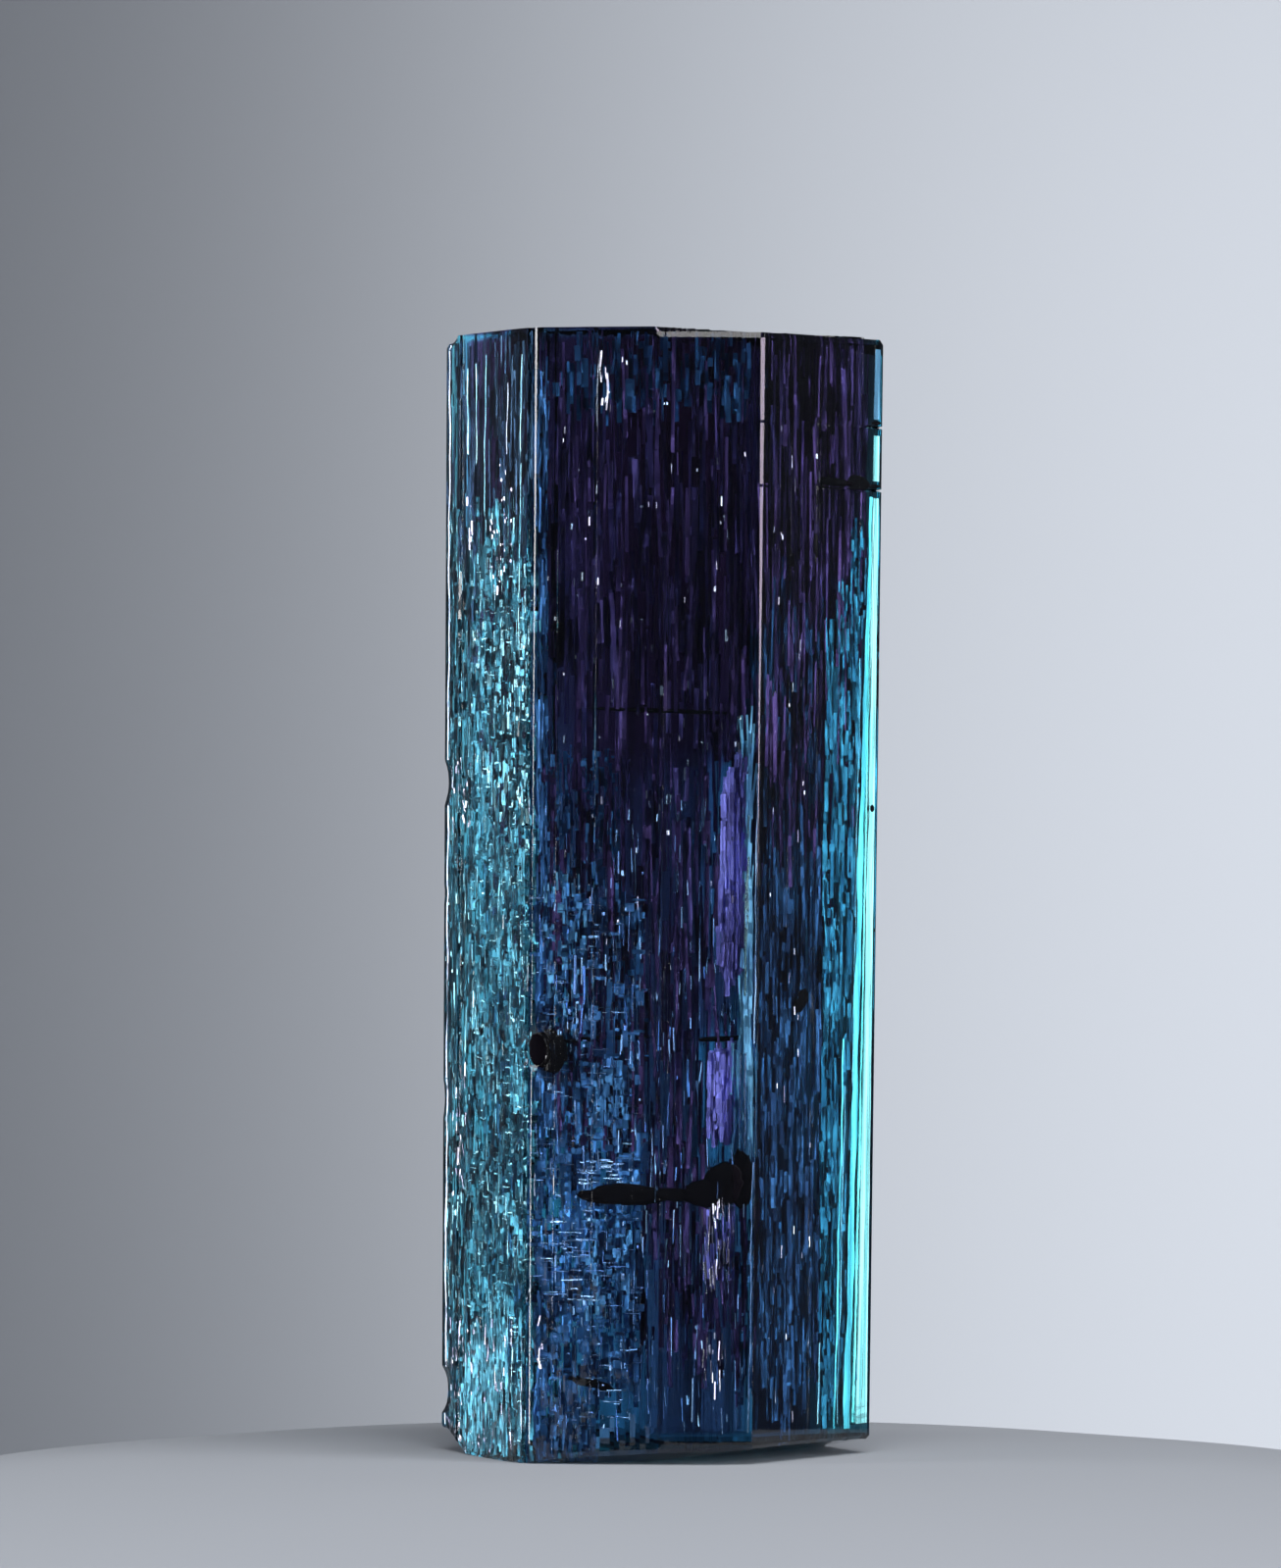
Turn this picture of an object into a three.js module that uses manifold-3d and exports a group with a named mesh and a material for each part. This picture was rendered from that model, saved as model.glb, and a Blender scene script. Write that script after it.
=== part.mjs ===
// A natural blue and violet tourmaline crystal: one prism, 24 mm tall, standing on its broken
// lower end. Units are millimetres, +Z runs up the crystal's c axis, the viewer stands at -Y and
// the origin is the centre of the footprint.
//
// The solid is grown in three moves: a ribbed six-sided outline is extruded and tapered, the flat
// termination and the fractured base are shaped by planes, and pits, nicks and cracks are cut out.

import * as THREE from "three";
import { mergeVertices } from "three/addons/utils/BufferGeometryUtils.js";
import Module from "manifold-3d";

const wasm = await Module();
wasm.setup();

// ---- Driving dimensions ----

const HEIGHT = 24;
const FOOT_SCALE = 0.979; // width at the foot against the top
const FOOT_SHIFT = -0.21; // how far the foot lies towards -X of the top
const GROWTH_STEPS = 4; // rings of facets up the prism

// The six prism edges at the top: degrees round from the front, and distance from the c axis.
// Each starts a face that runs to the next edge, and `bulge` is how far that face's middle stands
// proud of a flat one.
const EDGES = [
  { name: "left", angle: -96, radius: 4.72, bulge: 0.1 },
  { name: "front left", angle: -36, radius: 4.72, bulge: 0.13 },
  { name: "front right", angle: 24, radius: 4.72, bulge: 0.1 },
  { name: "right", angle: 84, radius: 4.72, bulge: 0.12 },
  { name: "back right", angle: 144, radius: 4.68, bulge: 0.1 },
  { name: "back left", angle: 204, radius: 4.7, bulge: 0.12 },
];

const RIB_WIDTH = 0.42; // of an average rib
const RIB_DEPTH = 0.055;
const RIB_SEED = 20;
const LEAST_STRETCH = 0.004; // of a face's width, below which two cuts are one

// Parallel-growth grooves. Each lies on the face that starts at `edge`, and `at` runs from 0 to 1
// across it.
const GROOVES = [
  { edge: "left", at: 0.955, width: 0.02, depth: 0.1 },
  { edge: "front left", at: 0.026, width: 0.016, depth: 0.09 },
  { edge: "front left", at: 0.952, width: 0.03, depth: 0.2 },
  { edge: "front right", at: 0.5, width: 0.012, depth: 0.06 },
  { edge: "front right", at: 0.83, width: 0.014, depth: 0.08 },
  { edge: "back right", at: 0.34, width: 0.022, depth: 0.13 },
];

// Planes that take material off. Each starts on the line through `from` square to `toward`
// (an angle round from the front) and `rise` is its slope away from there.
const TOP_BREAKS = [
  { toward: 46, from: 2.75, start: -0.1, rise: -0.012 }, // lower step of the right-hand growth
  { toward: -96, from: 4.38, start: 0, rise: -0.9 }, // rounded left corner
  { toward: 84, from: 4.42, start: 0, rise: -0.75 }, // rounded right corner
  { toward: 150, from: 4.1, start: 0, rise: -0.5 }, // bruised edge at the back
];
const FOOT_BREAKS = [
  { toward: 52, from: 1.7, start: 0, rise: 0.16 }, // sloping break at the front right
  { toward: -96, from: 4.15, start: 0, rise: 0.95 }, // chipped left corner
  { toward: 4, from: 3.2, start: 0, rise: 0.3 }, // shallow lip under the front face
  { toward: 172, from: 3.1, start: 0, rise: 0.2 }, // break at the back
];

// Shallow pits and bruised nicks in the prism: where round the crystal, how high, and half sizes.
const PITS = [
  { angle: -35, z: 8.75, half: [0.42, 0.34, 0.5] }, // the large shell-shaped chip
  { angle: -94, z: 14.4, half: [0.22, 0.16, 0.42] },
  { angle: -95, z: 12.0, half: [0.16, 0.12, 0.2] },
  { angle: -95, z: 7.6, half: [0.18, 0.14, 0.55] },
  { angle: -93, z: 1.3, half: [0.28, 0.2, 0.45] },
  { angle: -36, z: 2.6, half: [0.2, 0.16, 0.4] },
  { angle: 84, z: 13.9, half: [0.14, 0.12, 0.2] },
  { angle: 145, z: 17.2, half: [0.34, 0.24, 0.4] },
  { angle: 204, z: 6.1, half: [0.4, 0.26, 0.32] },
];
const PIT_DETAIL = 2;

// Tension cracks that open at the surface, square to the c axis.
const CRACKS = [
  { angle: 84, z: 20.65, reach: 0.28, gap: 0.07 },
  { angle: 82, z: 22.0, reach: 0.16, gap: 0.05 },
  { angle: 144, z: 11.2, reach: 0.3, gap: 0.07 },
];
const CRACK_LENGTH = 2.2;

// ---- Helpers ----

// The point at this many degrees round from the front and this far from the c axis.
function around(degrees, radius) {
  const angle = THREE.MathUtils.degToRad(degrees);
  return new THREE.Vector2(radius * Math.sin(angle), -radius * Math.cos(angle));
}

// A repeatable stream of numbers from 0 to 1.
function stream(seed) {
  let state = seed;
  return () => {
    state = (state * 1664525 + 1013904223) % 4294967296;
    return state / 4294967296;
  };
}

function solidOf(geometry) {
  const bare = geometry.clone();
  bare.deleteAttribute("normal");
  bare.deleteAttribute("uv");
  const merged = mergeVertices(bare, 1e-4);
  return new wasm.Manifold(
    new wasm.Mesh({
      numProp: 3,
      vertProperties: new Float32Array(merged.attributes.position.array),
      triVerts: new Uint32Array(merged.index.array),
    }),
  );
}

function geometryOf(solid) {
  const mesh = solid.getMesh();
  const geometry = new THREE.BufferGeometry();
  geometry.setAttribute("position", new THREE.BufferAttribute(mesh.vertProperties, 3));
  geometry.setIndex(new THREE.BufferAttribute(mesh.triVerts, 1));
  geometry.computeVertexNormals();
  return geometry;
}

// ---- The ribbed outline ----

// The face that starts at this edge, with its two corners, its run and its outward direction.
function faceFrom(index) {
  const edge = EDGES[index];
  const next = EDGES[(index + 1) % EDGES.length];
  const from = around(edge.angle, edge.radius);
  const along = around(next.angle, next.radius).sub(from);
  const outward = new THREE.Vector2(along.y, -along.x).normalize();
  const grooves = GROOVES.filter((groove) => groove.edge === edge.name);
  return { ...edge, from, along, outward, grooves };
}

// The stretches of one face, from 0 to 1: ribs of uneven width, cut where a groove starts or ends.
function stretches({ along, grooves }, random) {
  const count = Math.max(3, Math.round(along.length() / RIB_WIDTH));
  const widths = Array.from({ length: count }, () => 0.35 + random());
  const whole = widths.reduce((sum, width) => sum + width, 0);
  const cuts = [0, 1];
  let reached = 0;
  for (const width of widths.slice(1)) {
    reached += width / whole;
    cuts.push(reached);
  }
  for (const groove of grooves) {
    cuts.push(groove.at - groove.width / 2, groove.at + groove.width / 2);
  }
  cuts.sort((a, b) => a - b);
  const kept = cuts.filter((cut, i) => i === 0 || cut - cuts[i - 1] > LEAST_STRETCH);
  return kept.slice(1).map((end, i) => ({ start: kept[i], end }));
}

// One prism face as the outer corners of its ribs, without its last corner.
function ribbedFace(face, random) {
  const place = (t, lift) => {
    const proud = face.bulge * 4 * t * (1 - t) + lift;
    return face.from.clone().addScaledVector(face.along, t).addScaledVector(face.outward, proud);
  };
  const points = [face.from];
  const ribs = stretches(face, random);
  ribs.forEach(({ start, end }, i) => {
    const middle = (start + end) / 2;
    const groove = face.grooves.find(({ at, width }) => Math.abs(middle - at) < width / 2);
    const atEdge = i === 0 || i === ribs.length - 1;
    const rib = atEdge ? 0 : RIB_DEPTH * random();
    const lift = -rib - (groove ? groove.depth : 0);
    if (i > 0) points.push(place(start, lift));
    if (i < ribs.length - 1) points.push(place(end, lift));
  });
  return points;
}

function ribbedOutline() {
  const random = stream(RIB_SEED);
  return EDGES.flatMap((_, index) => ribbedFace(faceFrom(index), random));
}

// ---- The prism, and what has come off it ----

// Narrows and shifts the prism towards its foot.
function taper(geometry) {
  const position = geometry.attributes.position;
  for (let i = 0; i < position.count; i += 1) {
    const down = 1 - position.getZ(i) / HEIGHT;
    const scale = THREE.MathUtils.lerp(1, FOOT_SCALE, down);
    position.setX(i, position.getX(i) * scale + FOOT_SHIFT * down);
    position.setY(i, position.getY(i) * scale);
  }
  return geometry;
}

function prism() {
  const shape = new THREE.Shape(ribbedOutline());
  const options = { depth: HEIGHT, steps: GROWTH_STEPS, bevelEnabled: false };
  return solidOf(taper(new THREE.ExtrudeGeometry(shape, options)));
}

// Everything above (side 1) or below (side -1) a sloping plane, as a large box.
function breakOff({ toward, from, start, rise }, level, side) {
  const size = HEIGHT; // wide enough to take the whole end
  const direction = around(toward, 1);
  const box = new THREE.Object3D();
  const run = new THREE.Vector3(direction.x, direction.y, rise).normalize();
  const across = new THREE.Vector3(-direction.y, direction.x, 0);
  const up = new THREE.Vector3().crossVectors(run, across).normalize();
  box.matrix.makeBasis(run, across, up);
  const hinge = new THREE.Vector3(direction.x * from, direction.y * from, level + start);
  const centre = hinge.addScaledVector(run, size / 2).addScaledVector(up, (side * size) / 2);
  box.matrix.setPosition(centre);
  return solidOf(new THREE.BoxGeometry(size, size, size).applyMatrix4(box.matrix));
}

// The skin's distance from the c axis at this angle, on flat faces.
function skinRadius(angle) {
  const direction = around(angle, 1);
  const reaches = EDGES.map((_, index) => {
    const { from, along } = faceFrom(index);
    return from.cross(along) / direction.cross(along);
  });
  return Math.min(...reaches.filter((reach) => reach > 0));
}

// Where the skin lies at this angle and height.
function skinPoint(angle, z) {
  const down = 1 - z / HEIGHT;
  const flat = around(angle, skinRadius(angle) * THREE.MathUtils.lerp(1, FOOT_SCALE, down));
  return new THREE.Vector3(flat.x + FOOT_SHIFT * down, flat.y, z);
}

function pit({ angle, z, half }) {
  const ball = new THREE.IcosahedronGeometry(1, PIT_DETAIL).scale(...half);
  ball.rotateZ(THREE.MathUtils.degToRad(angle));
  const centre = skinPoint(angle, z);
  return solidOf(ball.translate(centre.x, centre.y, centre.z));
}

// A thin wedge, open at the skin and closing to a line inside.
function crack({ angle, z, reach, gap }) {
  const outside = 0.6;
  const flare = (gap * (reach + outside)) / reach / 2;
  const wedge = new THREE.Shape([
    new THREE.Vector2(-reach, 0),
    new THREE.Vector2(outside, -flare),
    new THREE.Vector2(outside, flare),
  ]);
  const options = { depth: CRACK_LENGTH, steps: 1, bevelEnabled: false };
  const cut = new THREE.ExtrudeGeometry(wedge, options).translate(0, 0, -CRACK_LENGTH / 2);
  cut.rotateX(Math.PI / 2);
  cut.rotateZ(THREE.MathUtils.degToRad(angle - 90));
  const centre = skinPoint(angle, z);
  return solidOf(cut.translate(centre.x, centre.y, centre.z));
}

function crystalSolid() {
  let solid = prism();
  for (const plane of TOP_BREAKS) solid = solid.subtract(breakOff(plane, HEIGHT, 1));
  for (const plane of FOOT_BREAKS) solid = solid.subtract(breakOff(plane, 0, -1));
  for (const hollow of PITS) solid = solid.subtract(pit(hollow));
  for (const opening of CRACKS) solid = solid.subtract(crack(opening));
  return solid;
}

// ---- The crystal ----

const indicolite = new THREE.MeshStandardMaterial({
  color: new THREE.Color(0.05, 0.16, 0.27),
  roughness: 0.08,
  metalness: 0,
});

// The footprint's centre goes to the origin, with the base plane at zero.
function centred(geometry) {
  geometry.computeBoundingBox();
  const { min, max } = geometry.boundingBox;
  return geometry.translate(-(min.x + max.x) / 2, -(min.y + max.y) / 2, -min.z);
}

function crystal() {
  const mesh = new THREE.Mesh(centred(geometryOf(crystalSolid())), indicolite);
  mesh.name = "crystal";
  return mesh;
}

const tourmaline = new THREE.Group();
tourmaline.add(crystal());

export default tourmaline;
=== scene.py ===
# %% [markdown]
# # A blue and violet tourmaline crystal
#
# Tourmaline grows as long prisms whose faces are ribbed from end to end. This one is clear, so its
# look comes from what light does inside it: it bends at the ribbed skin, loses its red on the way
# through the teal rim, loses its green in the violet heart, and flashes off the fine tubes and
# flakes that are sealed in. The lesson therefore builds real closed bodies, one inside the other,
# and gives each the plain optical values of the stone.
#
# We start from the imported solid. Everything below is measured from it.

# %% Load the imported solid
import math

import bmesh
import bpy
import numpy as np
from mathutils import Euler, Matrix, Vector
from mathutils.bvhtree import BVHTree


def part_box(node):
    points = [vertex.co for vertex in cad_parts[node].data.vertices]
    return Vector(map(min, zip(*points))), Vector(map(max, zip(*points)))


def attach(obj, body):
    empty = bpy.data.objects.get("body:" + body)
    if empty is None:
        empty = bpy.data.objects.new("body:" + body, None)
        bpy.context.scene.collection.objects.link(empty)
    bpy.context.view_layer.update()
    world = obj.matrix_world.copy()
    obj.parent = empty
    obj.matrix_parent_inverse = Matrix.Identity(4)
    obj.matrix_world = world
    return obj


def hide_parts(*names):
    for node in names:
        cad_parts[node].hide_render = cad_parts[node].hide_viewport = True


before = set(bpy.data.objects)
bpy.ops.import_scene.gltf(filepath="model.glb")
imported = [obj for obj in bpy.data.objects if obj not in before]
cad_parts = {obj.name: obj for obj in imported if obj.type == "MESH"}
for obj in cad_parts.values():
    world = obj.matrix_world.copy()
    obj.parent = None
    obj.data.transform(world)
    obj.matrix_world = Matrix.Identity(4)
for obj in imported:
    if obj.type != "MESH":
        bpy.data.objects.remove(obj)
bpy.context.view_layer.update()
low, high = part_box("crystal")
TALL = 24  # mm, the height of the real crystal
HEIGHT = high.z - low.z
MM = HEIGHT / TALL
print(f"crystal: {HEIGHT / MM:.2f} mm tall, {(high.x - low.x) / MM:.2f} mm wide")


def link(thing):
    bpy.context.scene.collection.objects.link(thing)
    return thing


def towards(degrees, distance=1.0):
    """The point this far from the axis, this many degrees round from the front."""
    turn = math.radians(degrees)
    return np.array([math.sin(turn), -math.cos(turn)]) * distance


# %% [markdown]
# ## The camera
#
# A small stone is looked at from some way off with a long lens, level with its middle. That keeps
# its long edges parallel. The stone stands slightly right of the middle of the view.

# %% Camera
HALF_ANGLE = math.radians(4.85)  # from the middle of the view to its top
EYE = Vector((-0.45 * MM, -198.8 * MM, 14.36 * MM))


def make_camera():
    lens = bpy.data.cameras.new("camera")
    lens.lens = lens.sensor_width / 2 / math.tan(HALF_ANGLE)
    lens.clip_start = 10 * MM
    lens.clip_end = 5000 * MM
    camera = link(bpy.data.objects.new("camera", lens))
    camera.location = EYE
    camera.rotation_euler = (math.pi / 2, 0, 0)
    bpy.context.scene.camera = camera
    return lens


lens = make_camera()
print(f"camera {-EYE.y / MM:.0f} mm away, with a lens of {lens.lens:.0f} mm")

# %% [markdown]
# ## The floor and the sweep behind it
#
# A clear stone shows whatever stands round it, bent and coloured. So the pale paper goes all the
# way round in one piece, spun from a single outline: there is no edge or corner in it to show up as
# a line in the stone. A wide flat floor would fill the lower half of the stone with its own
# reflection, so the floor is the flat top of a low hill. It falls gently away on all sides, and
# level light from far off can shine through the stone down to its foot.

# %% Floor and sweep
FLOOR_RADIUS = 8 * MM
HILL_CURVE = 60 * MM
HILL_TURN = math.radians(55)
WALL_RADIUS = 600 * MM
WALL_CURVE = 250 * MM
WALL_HEIGHT = 600 * MM
VALLEY = -260 * MM
PAPER = (0.5, 0.53, 0.58)


def sweep_outline():
    """Radius and height over the hill, down to the valley and up the wall."""
    hill = [
        (FLOOR_RADIUS + HILL_CURVE * math.sin(turn), -HILL_CURVE * (1 - math.cos(turn)))
        for turn in np.linspace(0, HILL_TURN, 16)
    ]
    wall = [
        (
            WALL_RADIUS - WALL_CURVE * (1 - math.sin(turn)),
            VALLEY + WALL_CURVE * (1 - math.cos(turn)),
        )
        for turn in np.linspace(0, math.pi / 2, 16)
    ]
    return [(0, 0), *hill, *wall, (WALL_RADIUS, WALL_HEIGHT)]


def make_sweep(paper):
    shape = bmesh.new()
    line = [shape.verts.new((radius, 0, z)) for radius, z in sweep_outline()]
    edges = [shape.edges.new(pair) for pair in zip(line, line[1:])]
    bmesh.ops.spin(
        shape, geom=line + edges, cent=(0, 0, 0), axis=(0, 0, 1), angle=math.tau, steps=128
    )
    bmesh.ops.remove_doubles(shape, verts=shape.verts, dist=0.01 * MM)
    bmesh.ops.recalc_face_normals(shape, faces=shape.faces)
    for face in shape.faces:
        face.smooth = True
    mesh = bpy.data.meshes.new("sweep")
    shape.to_mesh(mesh)
    shape.free()
    mesh.materials.append(paper)
    link(bpy.data.objects.new("sweep", mesh))


def make_paper():
    paper = bpy.data.materials.new("pale paper")
    paper.use_nodes = True
    shader = paper.node_tree.nodes["Principled BSDF"]
    shader.inputs["Base Color"].default_value = (*PAPER, 1)
    shader.inputs["Roughness"].default_value = 1.0
    shader.inputs["Specular IOR Level"].default_value = 0.0
    return paper


make_sweep(make_paper())
print(f"floor {2 * FLOOR_RADIUS / MM:.0f} mm across on a hill, wall {WALL_RADIUS / MM:.0f} mm away")

# %% [markdown]
# ## Soft light
#
# Every face of a prism passes light from its own few directions only, so each soft lamp lights its
# own part of the stone. Those at the left are mirrored by the films behind the left and the front
# face, those at the right by the films behind the right front face, and the window, which stands
# behind the stone, by the steep films in its thin right edge. The room in front stays dim, so that
# the heart stays deep. A lamp overhead lights the floor, and a wash grades the wall from grey to
# pale.

# %% Lights
BOUNCES = 8  # enough for light to cross the stone, its violet heart and a few films


def make_lamp(name, degrees, distance, height, size, radiance, aim=None, tint=(1, 1, 1)):
    """A rectangular soft lamp round the stone, as bright as radiance says, facing aim."""
    lamp = bpy.data.lights.new(name, "AREA")
    lamp.shape = "RECTANGLE"
    lamp.size, lamp.size_y = size[0] * MM, size[1] * MM
    lamp.energy = radiance * math.pi * lamp.size * lamp.size_y
    lamp.color = tint
    stand = link(bpy.data.objects.new(name, lamp))
    stand.location = (*towards(degrees, distance * MM), height * MM)
    facing = Vector(aim or (0, 0, height)) * MM - stand.location
    stand.rotation_euler = facing.to_track_quat("-Z", "Y").to_euler()
    stand.visible_camera = False


make_lamp("window", 126, 200, 25, (46, 140), 2.2)
make_lamp("left side", -58, 205, 25, (100, 140), 0.8)
make_lamp("left broad", -75, 195, 20, (64, 150), 6)
make_lamp("left glint", -72, 185, 20, (18, 120), 3.5)
make_lamp("right broad", 60, 195, 20, (44, 150), 6.6)
make_lamp("right glint", 63, 185, 20, (14, 120), 3)
make_lamp("edge glint", 48, 185, 20, (12, 120), 7, tint=(0.95, 0.8, 1))
make_lamp("wash", 168.4, 555, -30, (235, 340), 1.5, aim=(112, 700, -30))
make_lamp("overhead", 20, 90, 150, (150, 150), 3.2, aim=(0, 0, 0))

sky = bpy.data.worlds.new("sky")
sky.use_nodes = True
sky.node_tree.nodes["Background"].inputs["Color"].default_value = (0.8, 0.85, 1, 1)
sky.node_tree.nodes["Background"].inputs["Strength"].default_value = 0.06
bpy.context.scene.world = sky
bpy.context.scene.view_settings.view_transform = "Standard"
bpy.context.scene.cycles.max_bounces = BOUNCES
bpy.context.scene.cycles.transmission_bounces = BOUNCES
print(f"{len(bpy.data.lights)} soft lamps")

# %% [markdown]
# ## Reading the skin off the solid
#
# The solid already has the ribs, the grooves, the chips and the broken ends, on rather few flat
# faces. For the fine skin we want many small ones, in straight columns up the prism, so that a
# column can be a rib. We could subdivide the solid, but its triangles are long and crooked.
# Instead we lay a new grid over it: we slice the solid once to learn where its ribs stand, then
# shoot a ray outwards from the axis for each point of the grid and keep where it leaves the stone.

# %% Slices of the solid
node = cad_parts["crystal"]


def skin_of(mesh):
    """A mesh as a tree of faces, to shoot rays at and to find the nearest face in."""
    corners = [vertex.co.copy() for vertex in mesh.vertices]
    return BVHTree.FromPolygons(corners, [tuple(face.vertices) for face in mesh.polygons])


def slice_at(z):
    """The solid's outline at this height: its corners, in order round the middle."""
    shape = bmesh.new()
    shape.from_mesh(node.data)
    bmesh.ops.remove_doubles(shape, verts=shape.verts, dist=1e-4 * MM)
    cut = bmesh.ops.bisect_plane(
        shape,
        geom=[*shape.verts, *shape.edges, *shape.faces],
        plane_co=(0, 0, z),
        plane_no=(0, 0, 1),
    )["geom_cut"]
    points = np.array([part.co[:2] for part in cut if isinstance(part, bmesh.types.BMVert)])
    shape.free()
    middle = (points.min(0) + points.max(0)) / 2
    turn = np.arctan2(points[:, 0] - middle[0], middle[1] - points[:, 1])
    return points[np.argsort(turn)] - middle, middle


skin = skin_of(node.data)
UPPER = low.z + 0.8 * HEIGHT
LOWER = low.z + 0.2 * HEIGHT
upper_outline, upper_middle = slice_at(UPPER)
lower_outline, lower_middle = slice_at(LOWER)
narrowing = np.ptp(lower_outline, axis=0)[0] / np.ptp(upper_outline, axis=0)[0]
print(f"lower slice is {narrowing:.4f} as wide as the upper one")


def up_share(z):
    """0 at the lower slice and 1 at the upper one."""
    return (z - LOWER) / (UPPER - LOWER)


def axis_at(z):
    return lower_middle + (upper_middle - lower_middle) * up_share(z)


def width_at(z):
    """The width of the prism at this height, against the upper slice."""
    return narrowing + (1 - narrowing) * up_share(z)


# %% Columns round the prism
COLUMN = 0.1 * MM
FLAT_ENOUGH = 0.004 * MM  # a corner that stands out less than this from its neighbours is dropped


def true_corners(outline):
    """The outline without the points that lie on a straight stretch."""
    kept = list(outline)
    dropped = True
    while dropped:
        dropped = False
        for at in range(len(kept)):
            before, here, after = kept[at - 1], kept[at], kept[(at + 1) % len(kept)]
            along = after - before
            proud = abs(along[0] * (here - before)[1] - along[1] * (here - before)[0])
            if proud < FLAT_ENOUGH * np.linalg.norm(along):
                del kept[at]
                dropped = True
                break
    return np.array(kept)


def make_columns(outline):
    """Points at every rib corner, and about a column apart between them."""
    points = []
    for start, end in zip(outline, np.roll(outline, -1, axis=0)):
        parts = max(1, round(np.linalg.norm(end - start) / COLUMN))
        points += [start + (end - start) * part / parts for part in range(parts)]
    return np.array(points)


rib_corners = true_corners(upper_outline)
columns = make_columns(rib_corners)
ahead = np.roll(columns, -1, axis=0) - columns
step_ahead = np.linalg.norm(ahead, axis=1)
run = np.concatenate([[0], np.cumsum(step_ahead)[:-1]])
edge_out = np.stack([ahead[:, 1], -ahead[:, 0]], axis=1) / step_ahead[:, None]
outward = edge_out + np.roll(edge_out, 1, axis=0)
outward /= np.linalg.norm(outward, axis=1)[:, None]
print(f"{len(rib_corners)} rib corners, {len(columns)} columns round {step_ahead.sum() / MM:.1f} mm")

# %% Where rays meet the skin
FAR = 50 * MM
DEEPEST_CHIP = 1.2 * MM
RIM_RINGS = 5  # how many rings of a cap are tried to find the height of its rim
# rings of a cap, as shares of the way out from its middle
RINGS = [0.985, 0.96, 0.93, 0.89, 0.84, 0.78, 0.7, 0.6, 0.48, 0.36, 0.24, 0.12]


def skin_height(place, side):
    """The height of the upper (side 1) or lower (side -1) end of the stone at this place."""
    start = Vector((place[0], place[1], side * FAR))
    hit = skin.ray_cast(start, Vector((0, 0, -side)))[0]
    return hit.z if hit else (high.z if side > 0 else low.z)


def rim_height(column, z, side):
    """The height of an end at the foot or top of this column, looked for just inside the wall."""
    for share in RINGS[:RIM_RINGS]:
        height = skin_height(axis_at(z) + column * width_at(z) * share, side)
        if abs(height - z) < DEEPEST_CHIP:
            return height
    return z


def skin_point(column, z):
    """Where a ray from the axis leaves the stone, going out along this column at this height."""
    middle = axis_at(z)
    reach = np.linalg.norm(column)
    direction = Vector((*(column / reach), 0))
    hit = skin.ray_cast(Vector((*middle, z)), direction, FAR)[0]
    if hit:
        return np.array(hit)
    return np.array([*(middle + column * width_at(z)), z])


# %% Rows up the wall
ROW = 0.14 * MM
END_BLEND = 1.3 * MM  # how far from an end the rows bend to follow its slope
END_GAP = 0.002 * MM  # the least height of a ray over the foot or under the top
CRACK_LEVELS = [11.2, 20.65, 22.0]  # mm up, where a crack opens at the skin
CRACK_ROWS = [-0.07, -0.035, 0, 0.035, 0.07]  # mm from the middle of such a crack to each of its rows


def make_rows():
    """Heights of the rows, close together where a crack opens."""
    rows = list(np.linspace(low.z, high.z, round(HEIGHT / ROW) + 1))
    for level in CRACK_LEVELS:
        rows = [z for z in rows if abs(z - level * MM) > CRACK_ROWS[-1] * MM]
        rows += [(level + offset) * MM for offset in CRACK_ROWS]
    return np.array(sorted(rows))


def wall_points(rows):
    """The grid up the prism: for each column, the skin at each row, bent to meet the ends."""
    grid = np.zeros((len(columns), len(rows), 3))
    for at, column in enumerate(columns):
        rim_high, rim_low = rim_height(column, high.z, 1), rim_height(column, low.z, -1)
        near_top = np.clip(1 - (high.z - rows) / END_BLEND, 0, 1) ** 2
        near_foot = np.clip(1 - (rows - low.z) / END_BLEND, 0, 1) ** 2
        bent = rows + near_top * (rim_high - high.z) + near_foot * (rim_low - low.z)
        inside = np.clip(bent, low.z + END_GAP, high.z - END_GAP)
        for up, z in enumerate(inside):
            grid[at, up] = skin_point(column, z)
        grid[at, 0, 2], grid[at, -1, 2] = rim_low, rim_high
    return grid


rows = make_rows()
wall = wall_points(rows)
print(f"wall grid of {wall.shape[0]} by {wall.shape[1]} points")

# %% [markdown]
# ## Worn and flat faces
#
# Not every face is ribbed alike. The right front face grew as one clean plane, and the face
# straight behind is worn almost smooth, which lets the view through the front face stay whole. Each
# could be cut with a boolean, but the grid only needs its points moved: the worn face takes the mean
# of its neighbours, and the flat one is drawn towards the plane that fits it best.

# %% Worn ribs and a flat face
LEFT_FACE, FRONT_FACE, RIGHT_FACE = -66, -6, 54  # which way each front face looks, in degrees round
BACK_SPAN = (148, 176)  # the part of the back face that is worn, in degrees round
RIGHT_SPAN = (25.5, 83.5)  # the right front face between its corners
EASE = 3  # degrees over which worn ribs come back


def smooth_step(value, start, end):
    share = np.clip((value - start) / (end - start), 0, 1)
    return share * share * (3 - 2 * share)


def calmed(grid, start, end, reach):
    """The wall with the ribs worn smooth between two turns: each point is a mean of its neighbours."""
    share = smooth_step(turn, start - EASE, start) * (1 - smooth_step(turn, end, end + EASE))
    steps = range(-reach, reach + 1)
    mean = sum(np.roll(grid, step, axis=0) * (reach + 1 - abs(step)) for step in steps)
    mean /= sum(reach + 1 - abs(step) for step in steps)
    return grid + (mean - grid) * share[:, None, None]


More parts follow.
